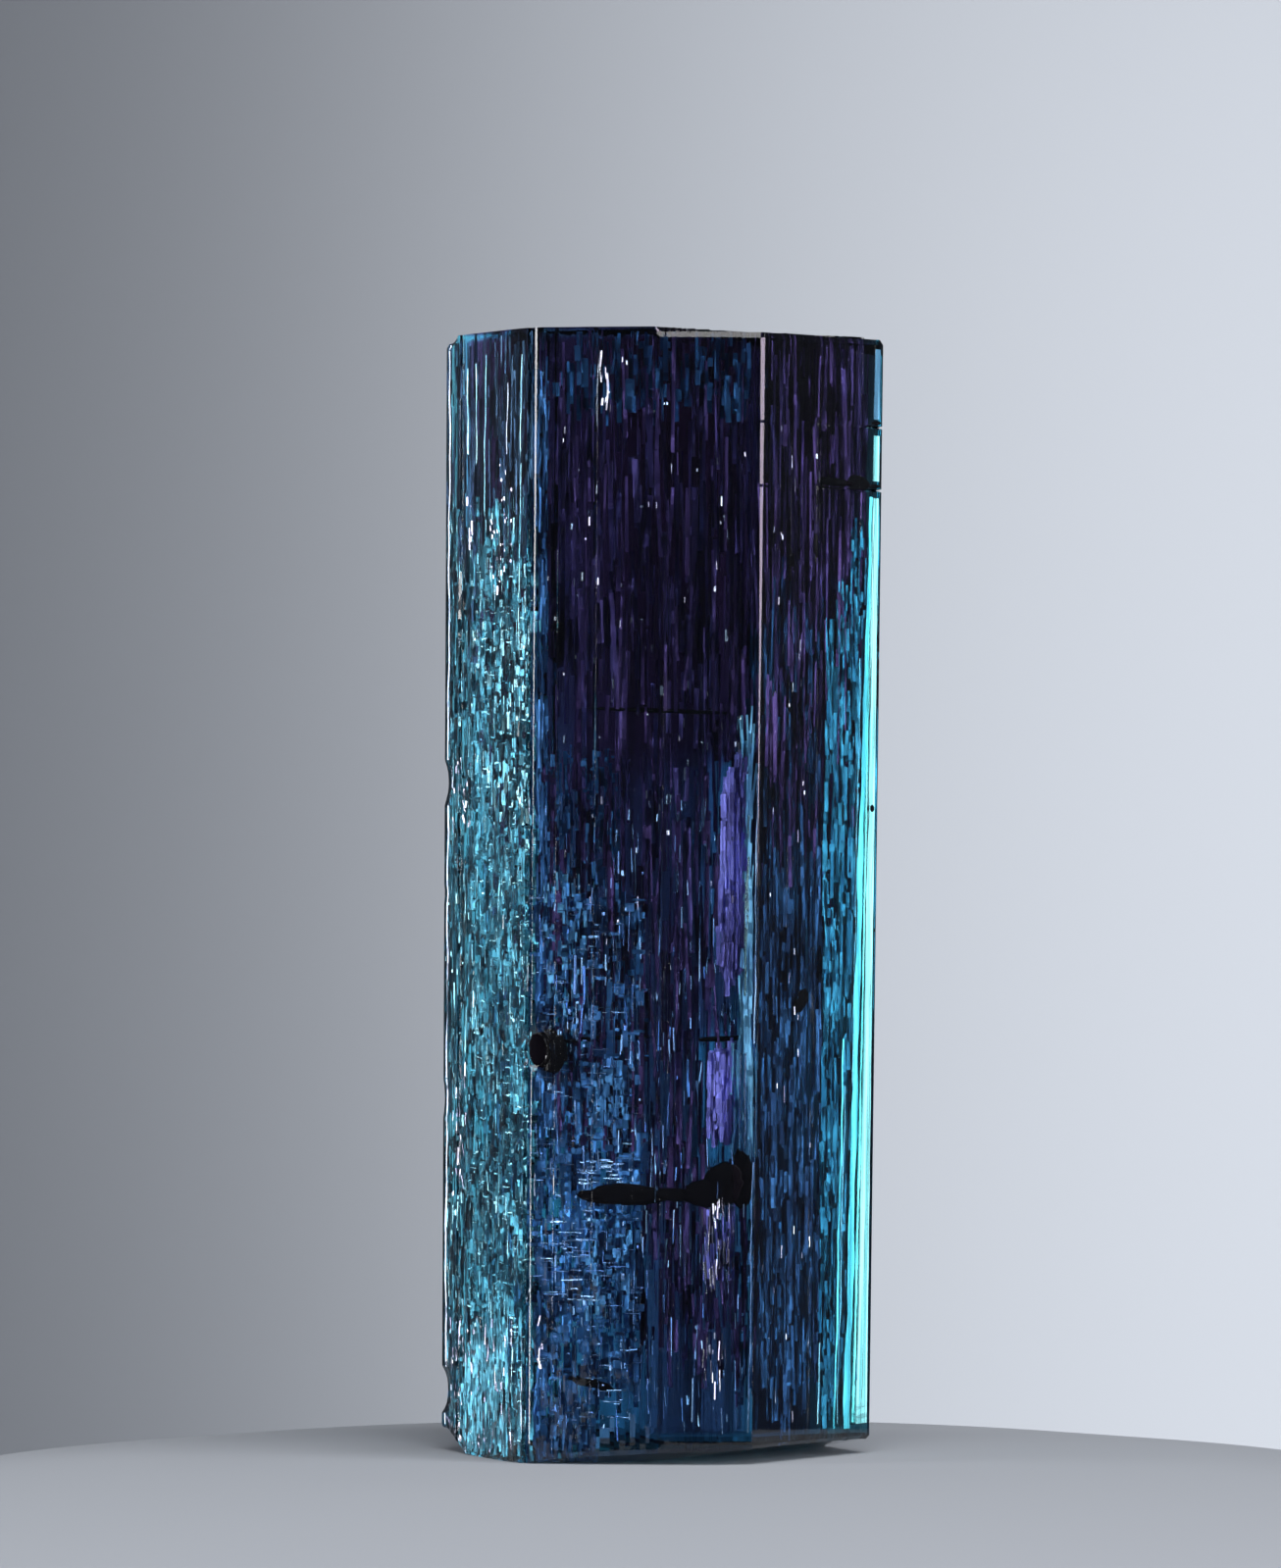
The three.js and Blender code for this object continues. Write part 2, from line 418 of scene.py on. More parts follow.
def flattened(grid, face, start, end, worn):
    """The wall with one face, between two corners, worn towards its mean plane."""
    within = (turn > start) & (turn < end)
    out, along = np.array(towards(face)), np.array(towards(face + 90))
    level = grid.copy()
    for up in range(grid.shape[1]):
        places = grid[within, up, :2]
        proud, across = places @ out, places @ along
        plane = np.polyval(np.polyfit(across, proud, 1), across)
        level[within, up, :2] += ((plane - proud) * worn)[:, None] * out
    return level


turn = np.degrees(np.arctan2(columns[:, 0], -columns[:, 1]))
wall = calmed(wall, *BACK_SPAN, reach=6)
wall = flattened(wall, RIGHT_FACE, *RIGHT_SPAN, worn=0.95)
flat_columns = np.sum((turn > RIGHT_SPAN[0]) & (turn < RIGHT_SPAN[1]))
print(f"right front face: {flat_columns} columns drawn to one plane")

# %% [markdown]
# ## Clean corners
#
# The corners of a tourmaline prism are its neatest parts. Close to each one the ribs end, two clean
# planes run up to it, and a narrow flat face along it catches the light as a bright line. A bevel
# modifier would round the ribs too, so we draw each corner ourselves, row by row: the planes run
# on to where they cross, and the narrow face is cut off there.

# %% Corners
CORNER_SEARCH = 5  # degrees to each side in which the real corner is looked for
ROUND = step_ahead.sum()
# which corner, in degrees round; how many mm of clean plane lie before and after it; half the
# width of the flat face in mm at the foot, at mid height and at the top
BEVELS = [
    (-96, 0.3, 0.3, (0.05, 0.05, 0.05)),
    (-36, 0.5, 0.3, (0.02, 0.003, 0.035)),
    (24, 0.6, 0.4, (0.001, 0.001, 0.06)),
    (84, 0.4, 0.3, (0.03, 0.03, 0.03)),
    (144, 0.3, 0.3, (0.05, 0.05, 0.05)),
    (-156, 0.3, 0.3, (0.05, 0.05, 0.05)),
]


def corner_column(corner):
    """The column that stands furthest out, within a few degrees of this turn."""
    off = (turn - corner + 180) % 360 - 180
    reach = np.linalg.norm(columns, axis=1)
    return np.argmax(np.where(np.abs(off) < CORNER_SEARCH, reach, 0))


def bevelled(grid, corner, before, after, halves):
    """The wall with clean planes up to a corner and a narrow flat face along it.

    The planes start this many mm before and after the corner. The flat face reaches half a width
    to each side, given at the foot, at mid height and at the top.
    """
    flat = grid.copy()
    at_corner = corner_column(corner)
    far = np.roll(run, -at_corner) - run[at_corner]
    place = np.roll((far + ROUND / 2) % ROUND - ROUND / 2, at_corner)
    inside = np.flatnonzero((place > -before * MM) & (place < after * MM))
    inside = inside[np.argsort(place[inside])]
    ends = inside[0], inside[-1]
    tangents = [Vector((*towards(corner + side + 90), 0)) for side in (-30, 30)]
    middle = len(inside) // 2
    stops = [0, middle - 1, middle, len(inside) - 1]
    for up, share in enumerate((rows - low.z) / HEIGHT):
        first, last = (Vector(grid[end, up]) for end in ends)
        reach = crossing(first, tangents[0], last, tangents[1])
        half = np.interp(share, (0, 0.5, 1), halves) * MM
        crest = (first + last) / 2
        crest.xy = reach
        profile = [first, crest - tangents[0] * half, crest + tangents[1] * half, last]
        for axis in range(3):
            flat[inside, up, axis] = np.interp(
                range(len(inside)), stops, [point[axis] for point in profile]
            )
    return flat


def crossing(first, along, second, back):
    """Where two level lines cross, seen from above."""
    across = along.x * back.y - along.y * back.x
    gap = second - first
    reach = (gap.x * back.y - gap.y * back.x) / across
    return (first + along * reach).xy


for corner, before, after, halves in BEVELS:
    wall = bevelled(wall, corner, before, after, halves)
    print(f"corner {corner}: found at {turn[corner_column(corner)]:.1f} degrees")

# %% [markdown]
# ## The ends
#
# The top is the flat growth face with its chips, the foot is the break. Each is closed by rings of
# points that shrink towards the middle. Their heights are read off the solid by rays straight down
# or straight up, so the chips and the lower step are kept.

# %% Caps


def cap_points(rim, side):
    """Rings from the rim to the middle of an end, then its middle point."""
    middle = axis_at(high.z if side > 0 else low.z)
    rings = [middle + (rim[:, :2] - middle) * share for share in RINGS]
    flat = np.concatenate([*rings, [middle]])
    heights = [skin_height(place, side) for place in flat]
    return np.column_stack([flat, heights])


top = cap_points(wall[:, -1], 1)
foot = cap_points(wall[:, 0], -1)
print(f"caps of {len(top)} points each")

# %% [markdown]
# ## A small kit for node trees
#
# Both Geometry Nodes and materials are node trees. A few short helpers place a node, feed its
# sockets with numbers or with other sockets, and hand it back. Another runs a finished tree on a
# piece and keeps the plain mesh, because a piece that is handed on carries no modifier.

# %% Node helpers


def put(tree, kind, feeds=None, **settings):
    """A new node. feeds names its inputs; settings are its own properties."""
    made = tree.nodes.new(kind)
    for name, value in settings.items():
        setattr(made, name, value)
    for name, value in (feeds or {}).items():
        if isinstance(value, bpy.types.NodeSocket):
            tree.links.new(value, made.inputs[name])
        else:
            made.inputs[name].default_value = value
    return made


def maths(tree, operation, *values):
    return put(tree, "ShaderNodeMath", dict(enumerate(values)), operation=operation).outputs[0]


def times(tree, product, *others):
    for other in others:
        product = maths(tree, "MULTIPLY", product, other)
    return product


def new_tree(name, sizes):
    """A Geometry Nodes tree with a named input for each size, and its group input node."""
    tree = bpy.data.node_groups.new(name, "GeometryNodeTree")
    tree.interface.new_socket("Geometry", in_out="INPUT", socket_type="NodeSocketGeometry")
    for size in sizes:
        tree.interface.new_socket(size, in_out="INPUT", socket_type="NodeSocketFloat")
    tree.interface.new_socket("Material", in_out="INPUT", socket_type="NodeSocketMaterial")
    tree.interface.new_socket("Geometry", in_out="OUTPUT", socket_type="NodeSocketGeometry")
    return tree, tree.nodes.new("NodeGroupInput")


def end_tree(tree, given, geometry):
    """Real meshes with their material, as every tree here ends."""
    real = put(tree, "GeometryNodeRealizeInstances", {"Geometry": geometry})
    dressed = put(
        tree,
        "GeometryNodeSetMaterial",
        {"Geometry": real.outputs[0], "Material": given.outputs["Material"]},
    )
    put(tree, "NodeGroupOutput", {"Geometry": dressed.outputs[0]})


def grow(piece, tree, values):
    """Runs the tree on the piece and keeps the result as its plain mesh."""
    modifier = piece.modifiers.new(tree.name, "NODES")
    modifier.node_group = tree
    for item in tree.interface.items_tree:
        if item.in_out == "INPUT" and item.name in values:
            modifier[item.identifier] = values[item.name]
    evaluated = piece.evaluated_get(bpy.context.evaluated_depsgraph_get())
    plain = bpy.data.meshes.new_from_object(evaluated)
    piece.modifiers.clear()
    piece.data = plain
    print(f"{piece.name}: {len(plain.vertices)} points, {len(plain.polygons)} faces")
    return piece


# %% [markdown]
# ## The clear stone
#
# A clear crystal is drawn as glass is: it bends light by its refractive index, 1.63 for tourmaline,
# and its skin has no colour of its own. The colour is lost on the way through, more the longer the
# way. A tinted surface would look like painted glass, so we use plain volume absorption: this stone
# swallows most red, some green and least blue.

# %% Clear material
IOR = 1.63
ABSORBED = (500, 200, 140)  # of red, green and blue light, per metre of stone


def swallow(tree, absorbed):
    """Plain volume absorption, given as how much of each colour is lost per metre."""
    most = max(absorbed)
    colour = [1 - share / most for share in absorbed]
    volume = put(tree, "ShaderNodeVolumeAbsorption", {"Color": (*colour, 1), "Density": most})
    tree.links.new(volume.outputs[0], tree.nodes["Material Output"].inputs["Volume"])


def clear_material(name, ior, absorbed):
    material = bpy.data.materials.new(name)
    material.use_nodes = True
    tree = material.node_tree
    shader = tree.nodes["Principled BSDF"]
    shader.inputs["Base Color"].default_value = (1, 1, 1, 1)
    shader.inputs["Roughness"].default_value = 0.0
    shader.inputs["IOR"].default_value = ior
    shader.inputs["Transmission Weight"].default_value = 1
    swallow(tree, absorbed)
    return material


# %% [markdown]
# ## The grid as a mesh
#
# The points already stand in rows, so the faces are quads from one row to the next, all the way
# round. The last ring of each cap closes on its middle point. Nothing is left open, because light
# has to be told when it is inside the stone.

# %% Mesh of the grid


def ring_faces(first, second, count):
    """Quads between two rings of points, each given by its first point."""
    return [
        (first + at, first + (at + 1) % count, second + (at + 1) % count, second + at)
        for at in range(count)
    ]


def stone_mesh():
    count, levels = wall.shape[:2]
    points = np.concatenate([wall.transpose(1, 0, 2).reshape(-1, 3), top, foot])
    faces = []
    for level in range(levels - 1):
        faces += ring_faces(level * count, (level + 1) * count, count)
    ends = ((count * levels, levels - 1, False), (count * levels + len(top), 0, True))
    for cap, rim, flip in ends:
        rings = [rim * count] + [cap + ring * count for ring in range(len(RINGS))]
        quads = [face for pair in zip(rings, rings[1:]) for face in ring_faces(*pair, count)]
        middle = cap + len(RINGS) * count
        quads += [(rings[-1] + at, rings[-1] + (at + 1) % count, middle) for at in range(count)]
        faces += [face[::-1] for face in quads] if flip else quads
    mesh = bpy.data.meshes.new("crystal_body")
    mesh.from_pydata(points, [], faces)
    return mesh


# %% [markdown]
# ## Ribs and etched cells
#
# Growth has left fine ribs from end to end, each a little deeper or shallower than the next. The
# left faces are etched as well, with shallow oblong cells that are tilted each its own way. They
# could be drawn by the material alone, but light that is bent at the skin shows real shape best.
# So a Geometry Nodes tree moves the points inwards, and marks on the points say how much where.

# %% Marks on the points
END_CALM = 0.25  # mm from an end over which the relief fades in
CORNER_CALM = (1.8, 3.4)  # degrees from a corner: here the relief starts, and here it is at its full
FLAT_FACE_CALM = 0.6  # the share of the relief that the flat right face has lost


def put_attribute(mesh, name, values, kind="FLOAT"):
    data = mesh.attributes.new(name, kind, "POINT").data
    field = "vector" if kind == "FLOAT_VECTOR" else "value"
    data.foreach_set(field, np.ravel(values).astype(np.float32))


def between(start, full, full_end, end):
    """1 well between two turns, 0 outside them."""
    return smooth_step(turn, start, full) * smooth_step(-turn, -end, -full_end)


def clear_of_corners():
    offs = [np.abs(turn - turn[corner_column(corner)]) for corner, *_ in BEVELS]
    return np.prod([smooth_step(off, *CORNER_CALM) for off in offs], axis=0)


def relief_marks(mesh):
    """What relief and finish read: the way round, the way out, and where the skin is etched."""
    count, levels = wall.shape[:2]
    spare = len(mesh.vertices) - count * levels
    z = wall[:, :, 2].T / MM
    ribbed = smooth_step(z, 0.0, END_CALM) * smooth_step(TALL - z, 0.0, END_CALM)
    worn = 1 - FLAT_FACE_CALM * between(24, 28, 80, 84)
    ribbed = ribbed * clear_of_corners() * worn
    left = between(-104, -94, -38, -33) * smooth_step(22 - z, 0, 4)
    lower = between(-40, -34, -30, 10) * smooth_step(13 - z, 0, 4)
    out = np.column_stack([outward, np.zeros(count)])
    for name, values in (
        ("run", np.tile(run, levels)),
        ("ribbed", ribbed.ravel()),
        ("etched", (ribbed * (left + lower)).ravel()),
    ):
        put_attribute(mesh, name, np.concatenate([values, np.zeros(spare)]))
    all_out = np.concatenate([np.tile(out, (levels, 1)), np.zeros((spare, 3))])
    put_attribute(mesh, "outward", all_out, "FLOAT_VECTOR")


# %% Patterns of cells
STRIP_JUMP = 70.0  # far enough that the cells of two strips have nothing in common
RIB_JUMP = 90.0  # the same for two ribs


def axes(tree, vector):
    return put(tree, "ShaderNodeSeparateXYZ", {0: vector}).outputs


def cells(tree, place):
    """A row of cells of uneven width: a random colour for each, and how far we are from its middle."""
    texture = put(tree, "ShaderNodeTexVoronoi", {"W": place, "Scale": 1.0}, voronoi_dimensions="1D")
    return axes(tree, texture.outputs["Color"]), maths(tree, "SUBTRACT", place, texture.outputs["W"])


def tilted(tree, chance, from_middle, size):
    """The height of a flake that is tilted by chance, this far from its middle."""
    return times(tree, maths(tree, "SUBTRACT", chance, 0.5), size, from_middle)


def shingles(tree, way_round, up, width, length):
    """Oblong flakes in upright rows, each tilted its own way: their height, and their colours."""
    strip, across = cells(tree, maths(tree, "DIVIDE", way_round, width))
    shifted = maths(tree, "ADD", maths(tree, "DIVIDE", up, length), times(tree, strip[0], STRIP_JUMP))
    chance, along = cells(tree, shifted)
    leans = tilted(tree, chance[0], across, width), tilted(tree, chance[1], along, length)
    return maths(tree, "ADD", *leans), chance


# %% Relief tree


def relief_tree():
    sizes = ["Rib Width", "Rib Depth", "Rib Fade", "Cell Width", "Cell Height", "Cell Depth", "Cell Lean"]
    tree, given = new_tree("relief", sizes)
    size = given.outputs

    def marked(name, kind="FLOAT"):
        mark = put(tree, "GeometryNodeInputNamedAttribute", {"Name": name}, data_type=kind)
        return mark.outputs["Attribute"]

    height = axes(tree, put(tree, "GeometryNodeInputPosition").outputs[0])["Z"]
    rib = cells(tree, maths(tree, "DIVIDE", marked("run"), size["Rib Width"]))[0]
    spread = put(
        tree,
        "ShaderNodeCombineXYZ",
        {
            "X": times(tree, rib["X"], RIB_JUMP),
            "Y": times(tree, rib["Y"], RIB_JUMP),
            "Z": maths(tree, "DIVIDE", height, size["Rib Fade"]),
        },
    ).outputs[0]
    wander = put(tree, "ShaderNodeTexNoise", {"Vector": spread, "Scale": 1.0, "Detail": 1.0})
    level = put(
        tree, "ShaderNodeMapRange", {"Value": wander.outputs[0], "From Min": 0.3, "From Max": 0.7}
    ).outputs[0]
    rib_drop = times(tree, level, size["Rib Depth"], marked("ribbed"))
    leaning, chance = shingles(tree, marked("run"), height, size["Cell Width"], size["Cell Height"])
    drop = times(tree, chance[2], size["Cell Depth"])
    lean = times(tree, leaning, size["Cell Lean"])
    cell_drop = times(tree, maths(tree, "ADD", drop, lean), marked("etched"))
    inwards = times(tree, maths(tree, "ADD", rib_drop, cell_drop), -1.0)
    offset = put(
        tree,
        "ShaderNodeVectorMath",
        {0: marked("outward", "FLOAT_VECTOR"), "Scale": inwards},
        operation="SCALE",
    )
    moved = put(
        tree, "GeometryNodeSetPosition", {"Geometry": size["Geometry"], "Offset": offset.outputs[0]}
    )
    end_tree(tree, given, moved.outputs[0])
    return tree


# %% [markdown]
# ## The finest relief, and the stone itself
#
# Between the ribs lie hair-thin lines, and each etched cell is made of smaller ones. That is finer
# than the grid, so the material adds it as bump, from the same patterns and the same marks. Then
# the tree grows the relief on the mesh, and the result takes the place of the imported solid.

# %% Clear stone with its finest relief
FINE_CELL = (0.11 * MM, 0.34 * MM)  # width and height of the small cells in the etched ones
FINE_LEAN = 0.3
HAIR_WIDTH, HAIR_LENGTH, HAIR_DEPTH = 0.09 * MM, 7 * MM, 0.012 * MM


def named(tree, name):
    return put(tree, "ShaderNodeAttribute", attribute_name=name).outputs["Fac"]


def clear_stone():
    """The clear stone with its finest relief: hair-thin ribs, and small flakes where it is etched."""
    material = clear_material("clear tourmaline", IOR, ABSORBED)
    tree = material.node_tree
    place = put(tree, "ShaderNodeTexCoord").outputs["Object"]
    height = axes(tree, place)["Z"]
    way_round = named(tree, "run")
    flakes, _ = shingles(tree, way_round, height, *FINE_CELL)
    etched = times(tree, flakes, named(tree, "etched"), FINE_LEAN)
    across, up = maths(tree, "DIVIDE", way_round, HAIR_WIDTH), maths(tree, "DIVIDE", height, HAIR_LENGTH)
    hair = put(tree, "ShaderNodeCombineXYZ", {"X": across, "Y": up}).outputs[0]
    hairs = put(tree, "ShaderNodeTexNoise", {"Vector": hair, "Scale": 1.0, "Detail": 2.0}).outputs[0]
    ribs = times(tree, hairs, named(tree, "ribbed"), HAIR_DEPTH)
    relief = maths(tree, "ADD", etched, ribs)
    bump = put(tree, "ShaderNodeBump", {"Strength": 1.0, "Distance": 1.0, "Height": relief})
    tree.links.new(bump.outputs[0], tree.nodes["Principled BSDF"].inputs["Normal"])
    return material


# %% Make the stone


def make_stone():
    mesh = stone_mesh()
    relief_marks(mesh)
    stone = link(bpy.data.objects.new("crystal_body", mesh))
    values = {
        "Rib Width": 0.26 * MM,
        "Rib Depth": 0.012 * MM,
        "Rib Fade": 9 * MM,
        "Cell Width": 0.34 * MM,
        "Cell Height": 0.8 * MM,
        "Cell Depth": 0.012 * MM,
        "Cell Lean": 0.07,
        "Material": clear_stone(),
    }
    grow(stone, relief_tree(), values)
    return stone


stone = make_stone()
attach(stone, "root")
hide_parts("crystal")

# %% [markdown]
# ## The violet heart
#
# The stone began to grow violet and went on growing blue, so its middle is a violet column that
# widens upwards, with a soft outline. It is the same clear stone, only coloured differently. So it
# is a closed body inside the skin that bends no light at all, and takes out the green. A paler body
# round it softens its outline.

# %% Shape of the heart
HEART_ABSORBED = (90, 500, 400)
HALO_ABSORBED = (0, 110, 20)
UNBENT = 1.0  # the heart is the same stone, so light goes straight on into it
HEART_SIDES = 72
SLANT = 0.5  # mm by which a step in the outline wanders up and down on its way round
HEART_LEVELS = 120
# how high up in mm, radius in mm, and its middle to the right of the axis and behind it in mm
HEART = [(0.5, 1.15, 0.85, 0), (5.6, 1.15, 0.85, 0), (6.3, 0.9, 0.1, 0), (8.8, 0.95, 0.05, 0),
         (9.3, 1.5, 0.4, 0), (10.6, 1.6, 0.25, 0), (11.2, 1.6, -0.35, 0), (14.6, 1.9, -0.6, 0),
         (15.6, 2.9, 0.1, 0.1), (19, 3.2, 0.3, 0.1), (24, 3.4, 0.4, 0.1)]
HALO = [(0.3, 2.2, 0.3, 0), (5, 2.3, 0.3, 0), (10, 2.4, 0.4, 0), (14, 2.7, 0.4, 0),
        (17, 3.2, 0.3, 0), (19, 3.5, 0.2, 0), (24, 3.6, 0.2, 0)]


def wandering(rng, angle, z):
    """How far the outline of the heart swings out and in, on its way round and up."""
    swings = 0
    for lobes in range(2, 9):
        size, twist, start = rng.uniform(0.01, 0.03), rng.uniform(-1, 1), rng.uniform(0, 6)
        swings = swings + size * np.sin(angle[None] * lobes + z[:, None] * twist + start)
    return 1 + swings


def heart_points(stations, seed, top_gap):
    """Rings at each level of a closed column, in mm.

    The top gap is how far each ring near the top keeps from the next, and the last from the skin.
    """
    rng = np.random.default_rng(seed)
    heights, radii, right, behind = np.array(stations).T
    z = np.linspace(heights[0], heights[-1], HEART_LEVELS)
    angle = np.linspace(0, math.tau, HEART_SIDES, endpoint=False)
    wander = wandering(rng, angle, z)
    level = z[:, None] + SLANT * np.sin(angle * 2 + 1) + rng.normal(0, 0.1, (1, HEART_SIDES))
    radius = np.interp(level, heights, radii) * wander
    x = np.interp(z, heights, right)[:, None] + radius * np.sin(angle)
    y = np.interp(z, heights, behind)[:, None] - radius * np.cos(angle)
    points = np.stack([x, y, np.repeat(z[:, None], HEART_SIDES, 1)], axis=-1).reshape(-1, 3)
    for at, level in enumerate(np.repeat(np.arange(HEART_LEVELS), HEART_SIDES)):
        roof = skin_height(points[at, :2] * MM, 1) / MM - top_gap * (HEART_LEVELS - level)
        points[at, 2] = min(points[at, 2], roof)
    return points


# %% Make the heart and its halo


def make_heart(name, stations, absorbed, seed, top_gap):
    points = heart_points(stations, seed, top_gap)
    faces = []
    for level in range(HEART_LEVELS - 1):
        faces += ring_faces(level * HEART_SIDES, (level + 1) * HEART_SIDES, HEART_SIDES)
    faces.append(tuple(range(HEART_SIDES))[::-1])
    faces.append(tuple(range((HEART_LEVELS - 1) * HEART_SIDES, HEART_LEVELS * HEART_SIDES)))
    mesh = bpy.data.meshes.new(name)
    mesh.from_pydata(points * MM, [], faces)
    mesh.materials.append(clear_material(name, UNBENT, absorbed))
    heart = link(bpy.data.objects.new(name, mesh))
    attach(heart, "root")


make_heart("violet_heart", HEART, HEART_ABSORBED, 3, top_gap=0.06)
make_heart("violet_halo", HALO, HALO_ABSORBED, 4, top_gap=0.04)
print(f"heart and halo of {HEART_LEVELS} rings with {HEART_SIDES} sides")

# %% [markdown]
# ## Placing what is sealed in
#
# Flakes, tubes and cracks are seen through the skin, which bends the view. To put one where it
# should be seen, we follow a ray from the camera to the face in front of that place, bend it there
# by the law of refraction, and go on into the stone for the depth that we want.

# %% Places seen from the front
FACE_TURNS = {LEFT_FACE: (-96, -36), FRONT_FACE: (-36, 24), RIGHT_FACE: (24, 84)}  # corner to corner
FRONT_PLANE = -4.4 * MM  # where the view is aimed, just before the stone
glass_skin = skin_of(stone.data)


def face_at(place):
    """Which way the face at this place on the skin looks, in degrees round."""
    here = math.degrees(math.atan2(place[0], -place[1]))
    return next((face for face, (start, end) in FACE_TURNS.items() if start <= here < end), FRONT_FACE)


def bent(direction, normal):
    """A view direction after it has entered the stone."""
    cosine = -direction.dot(normal)
    inner = math.sqrt(1 - (1 - cosine * cosine) / IOR**2)
    return (direction / IOR + normal * (cosine / IOR - inner)).normalized()


def leaned(x, z):
    """A place that keeps its share of the prism's width all the way up, given at mid height."""
    middle = low.z + HEIGHT / 2
    shift = axis_at(z * MM)[0] - axis_at(middle)[0]
    return x * width_at(z * MM) / width_at(middle) + shift / MM


def seen_at(x, z, depth, face=None):
    """The place seen at x, z mm from the front, this many mm inside, and the turn of the view there."""
    view = (Vector((leaned(x, z) * MM, FRONT_PLANE, z * MM)) - EYE).normalized()
    entry = glass_skin.ray_cast(EYE, view)[0]
    if entry is None:
        return None
    normal = Vector((*towards(face_at(entry) if face is None else face), 0))
    inside = bent(view, normal)
    facing = math.degrees(math.atan2(-inside.x, inside.y))
    return entry + inside * depth * MM, facing


print(f"refraction: the middle of the front shows {np.round(seen_at(0, TALL / 2, 3)[0] / MM, 2)} mm")

# %% [markdown]
# ## Flakes
#
# Where the stone cracked as it cooled, and healed again, thin flat films are left, mostly upright
# oblongs. Each one mirrors some part of the room. A film that happens to face a lamp flashes; its
# neighbours stay dim. One small slab is set on each of many points by Geometry Nodes, turned and
# sized by values that the points carry.

# %% Slabs on points


def slab_tree():
    tree, given = new_tree("slabs", [])

    def carried(name):
        mark = put(tree, "GeometryNodeInputNamedAttribute", {"Name": name}, data_type="FLOAT_VECTOR")
        return mark.outputs["Attribute"]

    slab = put(tree, "GeometryNodeMeshCube", {"Size": (1, 1, 1)}).outputs[0]
    turned = put(tree, "FunctionNodeEulerToRotation", {0: carried("turned")}).outputs[0]
    placed = put(
        tree,
        "GeometryNodeInstanceOnPoints",
        {
            "Points": given.outputs["Geometry"],
            "Instance": slab,
            "Rotation": turned,
            "Scale": carried("sized"),
        },
    )
    end_tree(tree, given, placed.outputs[0])
    return tree


slabs = slab_tree()
print(f"slab tree of {len(slabs.nodes)} nodes")

# %% [markdown]
# ## The finish of a film
#
# A healed crack is a sheet of tiny hollows. It reflects a good part of the light, in the colour of
# the stone that the light has crossed, and it is a little rough, so its flash is broad and soft.
# We use a rough metal for it, because a metal mirrors one tinted part of the room. Its colour runs
# from dark to bright in patches, or in upright streaks, and a laced one is broken into small cells.

# %% Film finish
FRONT_ALONG = (1, 0, 0)  # which way each front face runs, level and to the right
LEFT_ALONG, RIGHT_ALONG = (0.41, -0.91, 0), (0.59, 0.81, 0)
VEIL_ROUGHNESS = 0.35
LACE_CELL = (0.08 * MM, 0.25 * MM)  # width and height of the small cells of a laced film


def film_share(tree, place, streaked):
    """How bright the film is here: by its own chance value, and by patches or upright streaks."""
    stretch = (1, 1, 0.03) if streaked else (1, 1, 1)
    scale = (6.3 if streaked else 0.7) / MM
    drawn = put(tree, "ShaderNodeVectorMath", {0: place, 1: stretch}, operation="MULTIPLY").outputs[0]
    patches = put(tree, "ShaderNodeTexNoise", {"Vector": drawn, "Scale": scale, "Detail": 3.0})
    patch = put(
        tree,
        "ShaderNodeMapRange",
        {"Value": patches.outputs[0], "From Min": 0.38, "From Max": 0.62},
    ).outputs[0]
    return times(tree, maths(tree, "ADD", patch, 0.35), named(tree, "chance"))


def laced(tree, place, lace, along):
    """The normal of a film that is broken into small tilted cells."""
    aside = put(tree, "ShaderNodeVectorMath", {0: place, 1: along}, operation="DOT_PRODUCT")
    height = axes(tree, place)["Z"]
    tilts, _ = shingles(tree, aside.outputs["Value"], height, *LACE_CELL)
    bump = {"Strength": 1.0, "Distance": 1.0, "Height": times(tree, tilts, lace)}
    return put(tree, "ShaderNodeBump", bump).outputs[0]


def film_material(name, dark, bright, roughness, metallic=1.0, lace=0.0, along=FRONT_ALONG, streaked=False):
    """A film that mirrors or scatters, in colours from dark to bright."""
    material = bpy.data.materials.new(name)
    material.use_nodes = True
    tree = material.node_tree
    place = put(tree, "ShaderNodeTexCoord").outputs["Object"]
    shader = tree.nodes["Principled BSDF"]
    ramp = put(tree, "ShaderNodeMix", {"Factor": film_share(tree, place, streaked)}, data_type="RGBA")
    ramp.inputs["A"].default_value = (*dark, 1)
    ramp.inputs["B"].default_value = (*bright, 1)
    tree.links.new(ramp.outputs["Result"], shader.inputs["Base Color"])
    shader.inputs["Metallic"].default_value = metallic
    shader.inputs["Roughness"].default_value = roughness
    if lace:
        tree.links.new(laced(tree, place, lace, along), shader.inputs["Normal"])
    return material


def veil(name, dark, bright, lace, along=FRONT_ALONG):
    return film_material(f"{name} veil", dark, bright, VEIL_ROUGHNESS, lace=lace, along=along)


# %% [markdown]
# ## Keeping a flake inside the stone
#
# A flake that pokes out of the skin would be seen as a chip of metal on it. So each slab is tried
# at its four corners against the finished skin, and made smaller until it is sealed in, or left
# out. Its place, size, turn and chance value come from seeded draws within the bounds of its group.

# %% Scattering flakes
LEAST_COVER = 0.05  # mm of stone that stays over a flake
TRIES = 5
SHRINK = 0.75  # how much smaller a flake gets at each try
SLAB_THICK = 0.01  # mm
# what a group of flakes does unless it says otherwise: a dull flake leans up to this many degrees
# from the viewer; the flashing share is turned by flash, give or take spread, to mirror a lamp;
# roll is how askew they lie; glow bounds their chance value; clear lists places kept free of them
USUAL = dict(lean=30, flashing=0.25, spread=1.5, roll=2, glow=(0, 1), clear=())


def sealed(point, cover=LEAST_COVER):
    """True if this point lies well inside the stone. At the edge of a groove, the nearest face may
    look a little away from the point."""
    surface, normal = glass_skin.find_nearest(point)[:2]
    gap = surface - point
    return gap.length > cover * MM and gap.dot(normal) > -0.2 * gap.length


